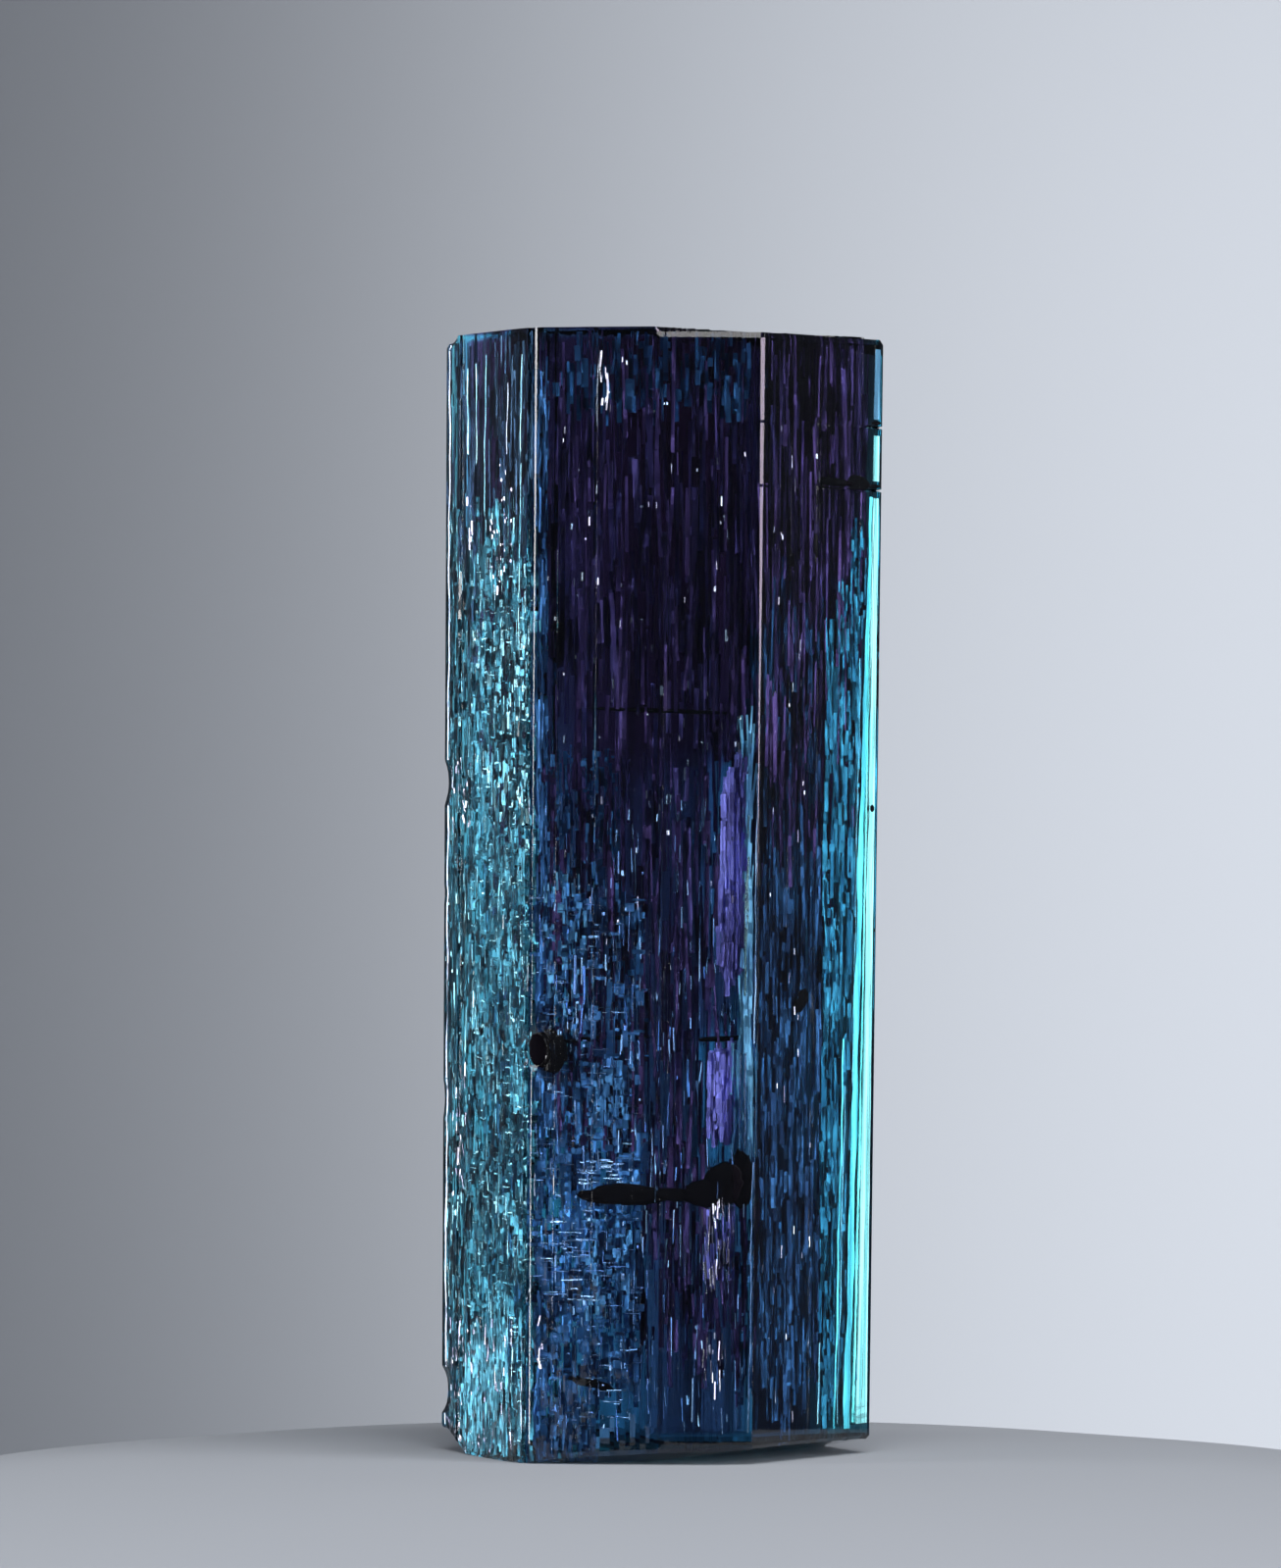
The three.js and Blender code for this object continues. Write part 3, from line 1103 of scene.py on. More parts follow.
def fitted(place, turned, width, height):
    """The width and height in mm that a slab keeps, made smaller until it is sealed in, or None."""
    frame_of = Euler(turned).to_matrix()
    for _ in range(TRIES):
        side = frame_of @ Vector((width * MM / 2, 0, 0))
        rise = frame_of @ Vector((0, 0, height * MM / 2))
        if all(sealed(place + a * side + b * rise) for a in (-1, 1) for b in (-1, 1)):
            return width, height
        width, height = width * SHRINK, height * SHRINK
    return None


def drawn_flake(group, rng):
    """Place, turn, size and chance value of one flake, or None where there is no room for it."""
    x, z, depth = (rng.uniform(*group[bounds]) for bounds in ("x", "z", "deep"))
    width = rng.uniform(*group["wide"]) * rng.uniform(0.5, 1)
    height = rng.uniform(*group["tall"]) * rng.uniform(0.3, 1)
    flashes = rng.random() < group["flashing"]
    mirroring = rng.normal(group["flash"], group["spread"])
    tilt = mirroring if flashes else rng.uniform(-1, 1) * group["lean"]
    pitch, roll = rng.normal(0, 3), rng.normal(0, group["roll"])
    chance = rng.uniform(*group["glow"])
    if any(left < x < right and under < z < over for left, right, under, over in group["clear"]):
        return None
    found = seen_at(x, z, depth)
    if found is None:
        return None
    place, facing = found
    turned = np.radians((pitch, roll, facing + tilt))
    kept = fitted(place, turned, width, height)
    if kept is None:
        return None
    return place, turned, (kept[0] * MM, SLAB_THICK * MM, kept[1] * MM), chance


def scatter(name, material, seed, shared, groups):
    """Many slabs in one piece. Each group says how many, where, how deep, how big, how turned."""
    rng = np.random.default_rng(seed)
    flakes = []
    for group in groups:
        told = {**USUAL, **shared, **group}
        flakes += [drawn_flake(told, rng) for _ in range(group["count"])]
    places, turns, sizes, chances = zip(*filter(None, flakes))
    mesh = bpy.data.meshes.new(name)
    mesh.from_pydata(places, [], [])
    put_attribute(mesh, "sized", sizes, "FLOAT_VECTOR")
    put_attribute(mesh, "turned", turns, "FLOAT_VECTOR")
    put_attribute(mesh, "chance", chances)
    piece = link(bpy.data.objects.new(name, mesh))
    grow(piece, slabs, {"Material": material})
    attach(piece, "root")


# %% [markdown]
# ## Veils behind the left front face
#
# The left of the stone glows teal, because most of its films are turned to mirror the lamps at the
# left. They are laid in bands, as they lie in the stone: brightest at mid height and at the very
# foot, and thin, dull and long near the top. In every group below, x and z say where it is seen, in
# mm from the middle and up, then come how deep it lies, how wide and how tall its flakes are.

# %% Left veils
LEFT_FLASH = -18.9  # how far a film on the left is turned from the viewer to mirror the left lamps
LEFT_X, LEFT_OUT, LEFT_IN = (-4.6, -2.82), (-4.6, -4.0), (-4.05, -2.82)

teal_veil = veil("teal", (0.01, 0.06, 0.11), (0.23, 0.75, 1.0), 0.35, LEFT_ALONG)
slate_veil = veil("slate", (0.015, 0.03, 0.08), (0.2, 0.36, 0.6), 0.2, LEFT_ALONG)

TEAL = dict(flash=LEFT_FLASH, deep=(0.3, 0.9), wide=(0.08, 0.4), tall=(0.1, 0.9))
scatter("teal_veils", teal_veil, 20, TEAL, [
    dict(count=700, x=LEFT_OUT, z=(0.3, 20), deep=(0.2, 0.7), wide=(0.06, 0.3), tall=(0.2, 1.2),
         flashing=0.8, spread=7, glow=(0, 0.4)),
    dict(count=740, x=LEFT_IN, z=(9.8, 20.3), flashing=0.85, spread=6, glow=(0.2, 1.4)),
    dict(count=380, x=LEFT_IN, z=(4, 9.8), flashing=0.8, spread=7),
    dict(count=260, x=LEFT_IN, z=(0.3, 4), flashing=0.85, spread=6, glow=(0.3, 1.5)),
    dict(count=170, x=(-4.15, -3.2), z=(0.2, 2.8), deep=(0.1, 0.3), wide=(0.05, 0.2), tall=(0.3, 1.2),
         flashing=1, spread=2, glow=(0.7, 1.6)),
    dict(count=110, x=(-4.2, -3.4), z=(0.3, 2.2), deep=(0.05, 0.12), wide=(0.05, 0.2), tall=(0.2, 0.9),
         flashing=1, glow=(1, 1.6)),
])
scatter("slate_veils", slate_veil, 31, dict(flash=LEFT_FLASH, deep=(0.1, 0.7)), [
    dict(count=300, x=LEFT_X, z=(19, 23.8), wide=(0.04, 0.16), tall=(0.4, 3), flashing=0.6, spread=11,
         glow=(0, 0.5)),
])

# %% [markdown]
# ## Veils behind the front face
#
# The front face looks into the heart. Its lower left is full of small blue films, some upright and
# some level, and its upper part shows long violet ones, so dim that they read as a grain in the
# dark. Two tall patches beside the right corner stay free of both: there the stone is lit instead
# by films that all mirror the lamps, lilac over the heart and azure beside it.

# %% Front veils
FRONT_FLASH = -19.1  # how far a film behind the front face is turned to mirror the left lamps
LOW_X = (-2.7, -0.4)
WINDOWS = [(1.25, 2.05, 10.3, 14.8), (1.0, 2.05, 6.7, 8.75)]  # left, right, foot, top of each patch

blue_veil = veil("blue", (0.01, 0.025, 0.085), (0.14, 0.4, 0.95), 0.25)
violet_veil = veil("violet", (0.014, 0.008, 0.035), (0.12, 0.07, 0.24), 0.25)

BLUE = dict(flash=FRONT_FLASH, deep=(0.3, 1.0), wide=(0.04, 0.2), flashing=0.7, spread=7)
scatter("blue_veils", blue_veil, 25, BLUE, [
    dict(count=160, x=(-2.7, -1.3), z=(0.3, 1.6), tall=(0.2, 1)),
    dict(count=900, x=LOW_X, z=(1.6, 12), tall=(0.2, 1.3)),
    dict(count=500, x=LOW_X, z=(1.6, 12), deep=(0.2, 0.8), wide=(0.08, 0.4), tall=(0.05, 0.3)),
    dict(count=300, x=(-2.7, -0.9), z=(11, 15), wide=(0.04, 0.16), tall=(0.1, 0.8), flashing=0.5,
         spread=9, glow=(0, 0.6)),
    dict(count=220, x=(-2.7, -2.42), z=(11, 23), deep=(0.2, 0.6), wide=(0.03, 0.07), tall=(0.3, 1.6),
         glow=(0.1, 0.9)),
    dict(count=170, x=(-2.3, 1.9), z=(22.3, 23.8), wide=(0.05, 0.2), tall=(0.3, 1.4), lean=35,
         flashing=0.6, spread=8, glow=(0, 0.4)),
])
VIOLET = dict(deep=(0.3, 1.1), wide=(0.03, 0.14), flashing=0.7, spread=8)
scatter("violet_veils", violet_veil, 33, dict(VIOLET, flash=FRONT_FLASH, clear=WINDOWS), [
    dict(count=800, x=(-2.6, 1.9), z=(7, 23.8), tall=(0.6, 4)),
    dict(count=160, x=(-0.2, 2.1), z=(23.86, 24), deep=(0.08, 0.6), wide=(0.08, 0.2),
         tall=(0.06, 0.2), flashing=0.2, glow=(0, 0.4)),
    dict(count=200, x=(-0.4, 1.9), z=(2.2, 7), tall=(0.6, 2.4)),
])

# %% [markdown]
# ## Veils behind the right front face
#
# The right front face is dusky violet at the top, deep blue below, and turns to sea green towards
# the right edge, where the stone gets thin and its teal rim shows. Its films mirror a lamp at the
# right.

# %% Right veils
RIGHT_BROAD = 16.7  # how far a film on the right is turned to mirror the broad lamp at the right
RIGHT_FLASH = 17.6  # and to mirror the glint beside it

deep_veil = veil("deep", (0.01, 0.018, 0.055), (0.05, 0.15, 0.36), 0.3, RIGHT_ALONG)
sea_veil = veil("sea", (0.01, 0.09, 0.19), (0.07, 0.45, 0.72), 0.2, RIGHT_ALONG)

scatter("dusk_veils", violet_veil, 36, dict(VIOLET, flash=RIGHT_BROAD), [
    dict(count=500, x=(2.1, 4.2), z=(13, 23.7), tall=(0.6, 4)),
])
scatter("deep_veils", deep_veil, 26, dict(flash=RIGHT_BROAD, x=(2.1, 3.4), flashing=0.8, spread=7), [
    dict(count=250, z=(11, 18), deep=(0.4, 1.2), wide=(0.04, 0.16), tall=(0.6, 3), glow=(0, 0.5)),
    dict(count=600, z=(1.1, 13), deep=(0.3, 1.0), wide=(0.03, 0.16), tall=(0.4, 2.5), glow=(0.1, 1)),
])
SEA = dict(flash=RIGHT_BROAD, deep=(0.2, 0.7), flashing=0.85, spread=6)
scatter("sea_veils", sea_veil, 28, SEA, [
    dict(count=900, x=(3.4, 4.2), z=(1.2, 17.6), wide=(0.04, 0.2), tall=(0.2, 1.6), glow=(0.1, 1)),
    dict(count=90, x=(3.6, 4.25), z=(17, 18.7), wide=(0.04, 0.16), tall=(0.2, 1)),
    dict(count=50, x=(3.9, 4.3), z=(18, 19.7), wide=(0.04, 0.12), tall=(0.2, 0.8)),
])

# %% [markdown]
# ## The two pale patches
#
# Beside the right corner of the front face two tall patches are bright and almost even. Their films
# lie close under the skin, and every one of them is turned to the lamp, within a few degrees.

# %% Lilac and azure films
lilac_veil = veil("lilac", (0.1, 0.09, 0.34), (0.3, 0.3, 1.0), 0.2)
azure_veil = veil("azure", (0.06, 0.2, 0.5), (0.25, 0.65, 1.0), 0.2)

PATCH = dict(flash=FRONT_FLASH + 1, deep=(0.14, 0.35), flashing=1, spread=2.5)
scatter("lilac_windows", lilac_veil, 27, dict(PATCH, wide=(0.06, 0.18)), [
    dict(count=60, x=(1.5, 1.9), z=(13.9, 14.9), wide=(0.04, 0.14), tall=(0.3, 1), glow=(0.2, 1)),
    dict(count=300, x=(1.26, 1.74), z=(12.4, 14.3), tall=(0.4, 1.2), glow=(0.5, 1.3)),
    dict(count=240, x=(1.22, 1.74), z=(10.4, 12.4), tall=(0.4, 1.4), glow=(0.3, 1)),
    dict(count=200, x=(1.02, 1.5), z=(7.0, 8.6), tall=(0.3, 1), glow=(0.4, 1.2)),
    dict(count=40, x=(0.95, 1.6), z=(3.9, 5.3), wide=(0.03, 0.1), tall=(0.3, 1), glow=(0.2, 1)),
])
scatter("azure_windows", azure_veil, 34, dict(PATCH, wide=(0.04, 0.1)), [
    dict(count=200, x=(1.5, 2.05), z=(6.8, 8.6), tall=(0.4, 1.4), glow=(0.6, 1.4)),
    dict(count=240, x=(1.7, 1.96), z=(8.8, 14.8), tall=(0.6, 3), glow=(0.5, 1.4)),
    dict(count=60, x=(-1.5, -0.6), z=(3.2, 5.2), wide=(0.05, 0.2), tall=(0.1, 0.5), spread=4,
         glow=(0, 0.5)),
    dict(count=70, x=(-2.45, -1.6), z=(9.6, 12.4), wide=(0.04, 0.16), tall=(0.1, 0.5), spread=4,
         glow=(0, 0.7)),
    dict(count=70, x=(-1.5, -0.7), z=(7.2, 8.4), wide=(0.05, 0.3), tall=(0.1, 0.5), spread=4,
         glow=(0, 0.3)),
])

# %% [markdown]
# ## Sharp flashes
#
# Over the veils, just under the skin, lie smaller and smoother films. They give the stone its
# glitter: hair-thin upright and level lines, and a few pale flakes that flash almost white. Where a
# line or cluster of them stands out on the real stone, it has a small group of its own.

# %% Glittering flakes
teal_film = film_material("teal film", (0.08, 0.3, 0.42), (0.6, 0.95, 1.0), 0.22)
blue_film = film_material("blue film", (0.05, 0.13, 0.4), (0.4, 0.62, 0.9), 0.22)
pale_film = film_material("pale film", (0.4, 0.36, 0.55), (0.9, 0.87, 0.95), 0.18)

scatter("teal_flakes", teal_film, 21, dict(flash=LEFT_FLASH, deep=(0.05, 0.4), spread=3), [
    dict(count=400, x=LEFT_X, z=(0.5, 20), wide=(0.03, 0.12), tall=(0.05, 0.3), flashing=0.12,
         spread=1.5),
    dict(count=1200, x=LEFT_X, z=(0.4, 20.5), wide=(0.012, 0.03), tall=(0.15, 1.2), glow=(0, 0.7)),
    dict(count=1000, x=LEFT_IN, z=(0.4, 19), wide=(0.06, 0.35), tall=(0.015, 0.04), glow=(0, 0.7)),
    dict(count=160, x=(-3.7, -2.85), z=(13.5, 17.5), deep=(0.05, 0.3), wide=(0.05, 0.25),
         tall=(0.1, 0.5), lean=20, flashing=0.4, glow=(0, 0.8)),
])
scatter("blue_flakes", blue_film, 22, dict(flash=FRONT_FLASH, deep=(0.05, 0.5), lean=22), [
    dict(count=200, x=LOW_X, z=(0.8, 13.5), wide=(0.02, 0.08), tall=(0.04, 0.2), flashing=0.15),
    dict(count=260, x=LOW_X, z=(0.8, 12), wide=(0.06, 0.5), tall=(0.015, 0.035), flashing=0.2,
         spread=3),
    dict(count=600, x=(-2.7, 1.8), z=(0.8, 14), wide=(0.012, 0.03), tall=(0.1, 1.0), flashing=0.2,
         spread=3, glow=(0, 0.7), clear=WINDOWS),
    dict(count=34, x=(-1.65, -0.75), z=(5.93, 6.45), deep=(0.05, 0.2), wide=(0.1, 0.5),
         tall=(0.015, 0.035), flashing=1, spread=2, glow=(0.3, 1)),
    dict(count=30, x=(-2.4, -0.9), z=(3.4, 5.2), deep=(0.05, 0.2), wide=(0.2, 0.8),
         tall=(0.015, 0.03), flashing=1, spread=2, glow=(0.2, 0.9)),
    dict(count=5, x=(-1.95, -1.6), z=(9.3, 10.4), deep=(0.05, 0.1), wide=(0.04, 0.07),
         tall=(0.9, 1.4), flashing=1),
])

# %% Pale flakes
FRONT_PALE = dict(flash=FRONT_FLASH, lean=20)
scatter("pale_flakes", pale_film, 23, dict(flash=LEFT_FLASH, deep=(0.05, 0.15), lean=5), [
    dict(FRONT_PALE, count=150, x=(-2.7, 1.8), z=(9, 23.4), deep=(0.05, 0.9), wide=(0.015, 0.04),
         tall=(0.05, 0.3)),
    dict(count=80, x=(2.2, 3.4), z=(1, 23.4), deep=(0.05, 0.5), wide=(0.012, 0.03), tall=(0.1, 0.4),
         lean=20, flash=RIGHT_FLASH),
    dict(FRONT_PALE, count=50, x=(0.9, 1.6), z=(3.9, 5.6), deep=(0.05, 0.2), wide=(0.02, 0.04),
         tall=(0.2, 0.8), flashing=0.6, spread=3),
    dict(FRONT_PALE, count=16, x=(0.9, 1.45), z=(1.6, 2.9), deep=(0.05, 0.2), wide=(0.02, 0.04),
         tall=(0.2, 0.7), flashing=0.7, spread=3),
    dict(FRONT_PALE, count=9, x=(-1.42, -1.15), z=(22.3, 23.3), wide=(0.03, 0.06), tall=(0.2, 0.8),
         flashing=1, roll=9),
    dict(count=9, x=(-4.14, -3.98), z=(19.3, 20.6), wide=(0.07, 0.14), tall=(0.2, 0.8), flashing=1),
    dict(count=44, x=(-3.66, -3.2), z=(18.4, 21.2), wide=(0.03, 0.1), tall=(0.03, 0.2), flashing=0.8,
         roll=15),
    dict(count=26, x=(-4.4, -4.05), z=(13.4, 14.9), wide=(0.04, 0.09), tall=(0.1, 0.4), flashing=0.8,
         roll=25),
    dict(count=30, x=(-4.4, -4.1), z=(5.7, 8.4), wide=(0.03, 0.07), tall=(0.2, 0.6), flashing=0.8,
         roll=14),
    dict(count=150, x=(-4.4, -3.1), z=(0.3, 3), deep=(0.05, 0.3), wide=(0.015, 0.05), tall=(0.1, 0.7),
         lean=8, flashing=0.7, spread=2, roll=4),
    dict(count=26, x=(-4.5, -4.15), z=(0.3, 1.6), deep=(0.05, 0.12), wide=(0.05, 0.12),
         tall=(0.1, 0.4), flashing=0.9, roll=25),
    dict(count=6, x=(-2.72, -2.4), z=(2.1, 3.2), deep=(0.05, 0.12), wide=(0.04, 0.09),
         tall=(0.2, 0.7), flash=FRONT_FLASH, flashing=0.9, roll=12),
])

# %% [markdown]
# ## Long films
#
# Some healed cracks run up the stone for many millimetres and show as one fine line. A row of slabs
# would look like a dotted line, so each is a thin closed ribbon: a ring of four corners at every
# short step up its path, joined to the next. Where the stone has no room for it, the ribbon gets
# narrower or stops, and goes on above.

# %% Ribbons
RIBBON_STEP = 0.12  # mm between the rings of a long film
RIBBON_THICK = 0.012
EASE_RINGS = 3  # how many rings to each side an edge is eased over
FAR_OUT = 6.0  # mm to the side, where the stone is never seen
HALVINGS = 14  # steps to find its outline
# what a long film does unless it says otherwise: depth and least cover in mm, wander and swell of
# its path and width, spread of its turn, bounds of its chance value; edge counts its places from
# the left (-1) or right (1) outline instead of the middle
USUAL_LINE = dict(deep=0.1, cover=LEAST_COVER, wander=0.01, swell=0.2, spread=0.6, glow=(0.8, 1), edge=0)


def edge_of(z, side):
    """How far out to this side the stone is seen at this height, as a place at mid height in mm."""
    inner, outer = 0.0, side * FAR_OUT
    for _ in range(HALVINGS):
        middle = (inner + outer) / 2
        inner, outer = (middle, outer) if seen_at(middle, z, 0.1) else (inner, middle)
    return inner


def reach_of(place, way, wanted, cover):
    """How far in mm a film can go this way from here and stay sealed in, up to what is wanted."""
    for share in np.linspace(1, 0.1, 19):
        if sealed(place + way * (share * wanted * MM), cover):
            return share * wanted
    return 0.0


def smoothed(stretch):
    """The rings of one stretch of film, with edges that change their reach slowly."""
    reaches = np.array([ring[2] for ring in stretch])
    around = ((EASE_RINGS, EASE_RINGS), (0, 0))
    span = 2 * EASE_RINGS + 1
    padded = np.pad(reaches, around, mode="edge")
    least = np.array([padded[at:at + span].min(axis=0) for at in range(len(stretch))])
    padded = np.pad(least, around, mode="edge")
    rings = []
    for at, (place, looks, _) in enumerate(stretch):
        near, far = padded[at:at + span].mean(axis=0) * MM
        side = Vector((*towards(looks + 90), 0))
        out = Vector((*towards(looks), 0)) * RIBBON_THICK / 2 * MM
        left, right = place - side * near, place + side * far
        rings.append([left + out, right + out, right - out, left - out])
    return rings


def film_rings(strip, rng):
    """Rings of four corners up one long film, in stretches where the stone has room for it."""
    heights, across, wide = np.array(sorted(strip["path"])).T
    levels = np.linspace(heights[0], heights[-1], round(np.ptp(heights) / RIBBON_STEP) + 2)
    waves = rng.uniform(0, math.tau, 4)
    wander = np.sin(levels * 1.7 + waves[0]) + 0.6 * np.sin(levels * 5.1 + waves[1])
    swell = np.sin(levels * 2.3 + waves[2]) + 0.6 * np.sin(levels * 7.3 + waves[3])
    places = np.interp(levels, heights, across) + strip["wander"] * wander
    widths = np.interp(levels, heights, wide) * (1 + strip["swell"] * swell)
    if strip["edge"]:
        places += [edge_of(z, strip["edge"]) for z in levels]
    stretches = [[]]
    for z, x, width in zip(levels, places, widths):
        found = seen_at(x, z, strip["deep"], strip["face"])
        if found is None or not sealed(found[0], strip["cover"]):
            stretches.append([])
            continue
        looks = strip["flash"] + rng.normal(0, strip["spread"]) + found[1]
        side = Vector((*towards(looks + 90), 0))
        reaches = [reach_of(found[0], way * side, width / 2, strip["cover"]) for way in (-1, 1)]
        stretches[-1].append((found[0], looks, reaches))
    return [smoothed(stretch) for stretch in stretches if len(stretch) > 1]


def ribbons(name, material, seed, shared, strips):
    """Long upright films in one piece. Each strip says its path (z, x, width), depth and turn."""
    rng = np.random.default_rng(seed)
    points, faces, chances = [], [], []
    for strip in strips:
        told = {**USUAL_LINE, **shared, **strip}
        chance = rng.uniform(*told["glow"])
        for stretch in film_rings(told, rng):
            first = len(points)
            points += [corner for ring in stretch for corner in ring]
            chances += [chance] * (4 * len(stretch))
            last = len(points) - 4
            for ring in range(first, last, 4):
                faces += ring_faces(ring, ring + 4, 4)
            faces += [tuple(range(first + 3, first - 1, -1)), tuple(range(last, last + 4))]
    mesh = bpy.data.meshes.new(name)
    mesh.from_pydata(points, [], faces)
    put_attribute(mesh, "chance", chances)
    mesh.materials.append(material)
    piece = link(bpy.data.objects.new(name, mesh))
    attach(piece, "root")
    print(f"{name}: {len(points)} points, {len(faces)} faces")


# %% [markdown]
# ## The bright right edge
#
# The right edge is the brightest line on the stone. A steep film behind the right front face
# mirrors the window, which stands behind the stone, through its back face. Beside it lie dimmer
# sea-green films, split into lines by a few fine dark sheets of painted shade. The topmost stretch is
# duller.

# %% Rim films
RIM_FLASH = 48.6  # how far a film at the right edge is turned to mirror the window

rim_film = film_material("rim film", (0.02, 0.32, 0.38), (0.48, 1.0, 1.0), 0.12, streaked=True)
sea_film = film_material("sea film", (0.01, 0.12, 0.18), (0.12, 0.75, 0.9), 0.3, streaked=True)
# painted shade: dull, nearly black sheets that split the bright rim into lines
painted_shade_film = film_material("painted shade film", (0.002, 0.02, 0.03), (0.01, 0.06, 0.08), 0.5, metallic=0.0)
top_film = film_material("top rim film", (0.03, 0.1, 0.2), (0.22, 0.5, 0.75), 0.2, streaked=True)

EDGE = dict(deep=0.26, cover=0.1, flash=RIM_FLASH, face=RIGHT_FACE, wander=0, swell=0, spread=0.05)
ribbons("rim_films", rim_film, 24, EDGE, [
    dict(path=[(0.9, 4.24, 1), (4, 4.29, 1.1), (12, 4.38, 0.8), (21.8, 4.44, 0.55)], glow=(0.8, 0.8)),
])
ribbons("rim_sides", sea_film, 38, dict(deep=0.12, flash=RIGHT_BROAD, face=RIGHT_FACE, spread=0.3), [
    dict(path=[(0.8, 4.02, 0.24), (12, 4.16, 0.2), (20.4, 4.3, 0.1)], glow=(0.75, 0.75)),
    dict(path=[(0.8, 3.76, 0.06), (9, 3.86, 0.05)], glow=(0.6, 0.6)),
])
# thin dark ribbons of painted shade, laid across the bright rim films
ribbons("rim_painted_shades", painted_shade_film, 39, dict(flash=0, face=RIGHT_FACE), [
    dict(path=[(0.8, 4.18, 0.035), (12, 4.3, 0.03), (20.4, 4.38, 0.02)], swell=0.4),
    dict(path=[(0.6, 4.33, 0.015), (12, 4.42, 0.015), (21.8, 4.46, 0.012)], swell=0.6),
    dict(path=[(0.8, 3.9, 0.03), (7, 3.98, 0.03), (15, 4.08, 0.02)], swell=0.5),
])
ribbons("top_rim_films", top_film, 37, EDGE, [
    dict(path=[(21.8, 4.42, 0.5), (23.5, 4.44, 0.5)]),
])

# %% [markdown]
# ## Fine lines
#
# The last films are single lines: the pale outline at the left, the lines close to the two front
# corners, the upright ones under the top of the left face, and the blue ones beside the pale
# patches.

# %% Lines
LEFT_LINE = dict(flash=LEFT_FLASH, face=LEFT_FACE)
FRONT_LINE = dict(flash=FRONT_FLASH, face=FRONT_FACE)
RIGHT_LINE = dict(flash=RIGHT_FLASH, face=RIGHT_FACE)
CLOSE = dict(deep=0.09, cover=0.03)

line_film = film_material("line film", (0.2, 0.25, 0.36), (0.4, 0.45, 0.55), 0.2)

ribbons("pale_lines", line_film, 29, LEFT_LINE, [
    dict(path=[(0.3, 0.07, 0.06), (23.7, 0.07, 0.06)], edge=-1, deep=0.05, cover=0.015),
    dict(path=[(10, -2.82, 0.03), (18, -2.8, 0.03)], flash=-21, face=-36, wander=0.02),
    dict(FRONT_LINE, path=[(4.2, -2.6, 0.05), (8.0, -2.62, 0.05)], wander=0.02, swell=0.5),
    dict(path=[(0.7, -2.88, 0.06), (3.3, -2.88, 0.06), (3.9, -2.66, 0.05)], swell=0.5),
    dict(path=[(8.25, -2.84, 0.03), (8.8, -2.89, 0.09), (9.4, -2.83, 0.03)], deep=0.08, wander=0,
         swell=0),
    dict(FRONT_LINE, path=[(21.9, -1.44, 0.05), (23.2, -1.44, 0.05)], deep=0.08),
    dict(path=[(19.7, -4.27, 0.025), (23.6, -4.27, 0.03)]),
    dict(path=[(21.3, -3.31, 0.03), (22.8, -3.31, 0.03)]),
])
ribbons("teal_lines", teal_film, 32, LEFT_LINE, [
    dict(path=[(21.3, -4.13, 0.05), (23.1, -4.13, 0.06)]),
    dict(path=[(21.1, -3.96, 0.025), (23.2, -3.96, 0.03)]),
    dict(RIGHT_LINE, path=[(0.9, 3.82, 0.02), (8, 3.9, 0.02)], swell=0.4, glow=(0, 0.1)),
    dict(RIGHT_LINE, path=[(8, 4.05, 0.02), (17, 4.12, 0.02)], swell=0.4, glow=(0, 0.1)),
    dict(RIGHT_LINE, path=[(0.9, 3.42, 0.03), (2.6, 3.42, 0.03)], glow=(0.1, 0.2)),
    dict(CLOSE, path=[(9.9, 1.77, 0.06), (11.6, 1.79, 0.1), (12.6, 1.8, 0.09), (13.7, 1.81, 0.05)],
         flash=FRONT_FLASH + 0.3, face=FRONT_FACE, swell=0.35),
    dict(path=[(20, -3.77, 0.03), (23.4, -3.77, 0.03)], glow=(0.2, 0.4)),
    dict(path=[(17, -3.05, 0.03), (23.4, -3.02, 0.03)], glow=(0.2, 0.4)),
])
ribbons("blue_lines", blue_film, 30, FRONT_LINE, [
    dict(CLOSE, path=[(8.9, 1.98, 0.025), (14.6, 1.98, 0.025)], swell=0.5),
    dict(CLOSE, path=[(0.7, 1.94, 0.03), (6.4, 1.97, 0.03)], swell=0.4),
    dict(path=[(6.7, 1.68, 0.03), (8.7, 1.68, 0.03)], deep=0.08),
    dict(path=[(6.7, 1.8, 0.04), (8.7, 1.8, 0.04)], deep=0.08),
])

# %% [markdown]
# ## Open cracks
#
# A few cracks gape. Their walls are far too steep to let the light of the room through, so they
# look black. Each is a closed lens with a ragged rim, laid almost level across the prism, and that
# black is painted on its walls as painted shade.

# %% Dark lenses, painted black as shade


def painted_shade_material():
    """Walls painted black as painted shade, with a faint painted blue sheen here and there."""
    # painted shade: near-black walls, with lighter blue patches as a painted sheen
    material = film_material("painted shade crack", (0.002, 0.001, 0.004), (0.01, 0.01, 0.025), 0.6, metallic=0.0)
    shader = material.node_tree.nodes["Principled BSDF"]
    shader.inputs["Specular IOR Level"].default_value = 0.1
    return material


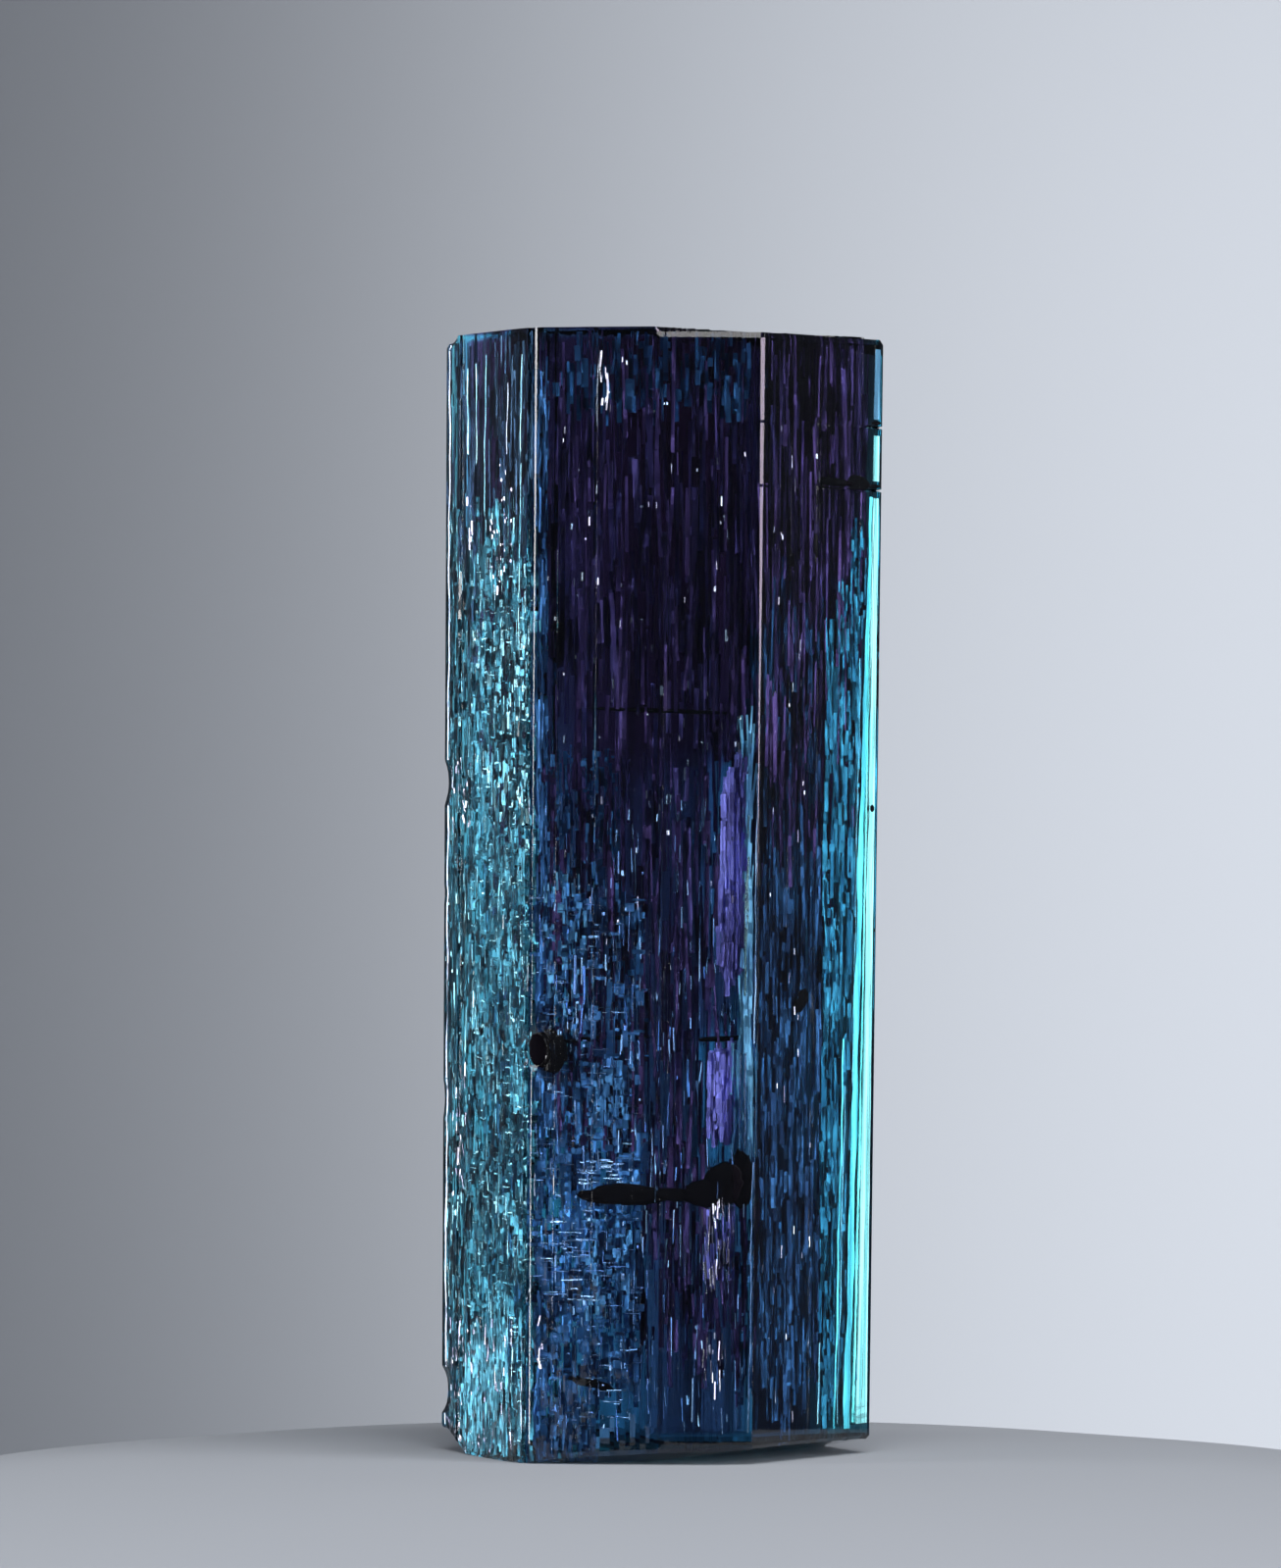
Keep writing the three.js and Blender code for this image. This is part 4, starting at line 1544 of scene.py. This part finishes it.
# place in mm as seen, depth, half width, half height, half thickness, roll in degrees
CRACKS = [
    (-1.2, 5.68, 0.15, 0.55, 0.15, 0.06, -3),
    (-0.65, 5.72, 0.15, 0.85, 0.23, 0.06, -2),
    (0.3, 5.72, 0.2, 0.5, 0.14, 0.06, -4),
    (0.95, 5.75, 0.15, 0.45, 0.3, 0.06, 6),
    (1.35, 5.95, 0.15, 0.42, 0.46, 0.06, -10),
    (1.72, 6.05, 0.15, 0.26, 0.62, 0.06, 0),
    (1.3, 9.0, 0.5, 0.55, 0.06, 0.05, 2),
    (-1.2, 9.0, 0.5, 1.1, 0.05, 0.05, 3),
    (-2.36, 8.75, 0.09, 0.4, 0.48, 0.04, 24),
    (0.0, 15.9, 0.5, 1.6, 0.05, 0.06, -2),
    (-1.4, 1.75, 0.3, 0.5, 0.1, 0.06, -14),
    (3.5, 20.72, 0.3, 0.62, 0.09, 0.06, -3),
    (4.0, 20.68, 0.25, 0.4, 0.19, 0.06, -4),
    (4.36, 20.62, 0.12, 0.18, 0.05, 0.03, 0),
    (4.38, 21.95, 0.12, 0.15, 0.05, 0.03, 0),
    (4.4, 13.85, 0.12, 0.07, 0.08, 0.03, 0),
    (2.95, 9.8, 0.3, 0.18, 0.3, 0.06, -40),
]
LENS_SIDES, LENS_RINGS = 28, 8
RAGGED = 0.07  # how far the rim of a lens goes in and out, as a share of its size


def make_cracks():
    rng = np.random.default_rng(31)
    shape = bmesh.new()
    for x, z, depth, half_width, half_height, half_thick, roll in CRACKS:
        place, facing = seen_at(x, z, depth)
        ragged = 1 + RAGGED * rng.uniform(-1, 1, LENS_SIDES)
        lens = bmesh.ops.create_uvsphere(
            shape, u_segments=LENS_SIDES, v_segments=LENS_RINGS, radius=1
        )["verts"]
        turned = np.radians(facing)
        tilted_by = math.radians(roll)
        for vertex in lens:
            side, up, out = vertex.co.x, vertex.co.y, vertex.co.z
            rim = ragged[round(math.atan2(up, side) / math.tau * LENS_SIDES) % LENS_SIDES]
            across, rise, through = side * half_width * rim, up * half_height * rim, out * half_thick
            along = across * math.cos(tilted_by) - rise * math.sin(tilted_by)
            above = across * math.sin(tilted_by) + rise * math.cos(tilted_by)
            vertex.co = place + MM * Vector((
                along * math.cos(turned) + through * math.sin(turned),
                along * math.sin(turned) - through * math.cos(turned),
                above,
            ))
    bmesh.ops.recalc_face_normals(shape, faces=shape.faces)
    mesh = bpy.data.meshes.new("painted_shade_cracks")
    shape.to_mesh(mesh)
    shape.free()
    # the lenses are painted black, painted shade in place of the dark that light leaves in a gap
    mesh.materials.append(painted_shade_material())
    piece = link(bpy.data.objects.new("painted_shade_cracks", mesh))
    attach(piece, "root")
    print(f"{len(CRACKS)} dark lenses, {len(mesh.polygons)} faces")


make_cracks()
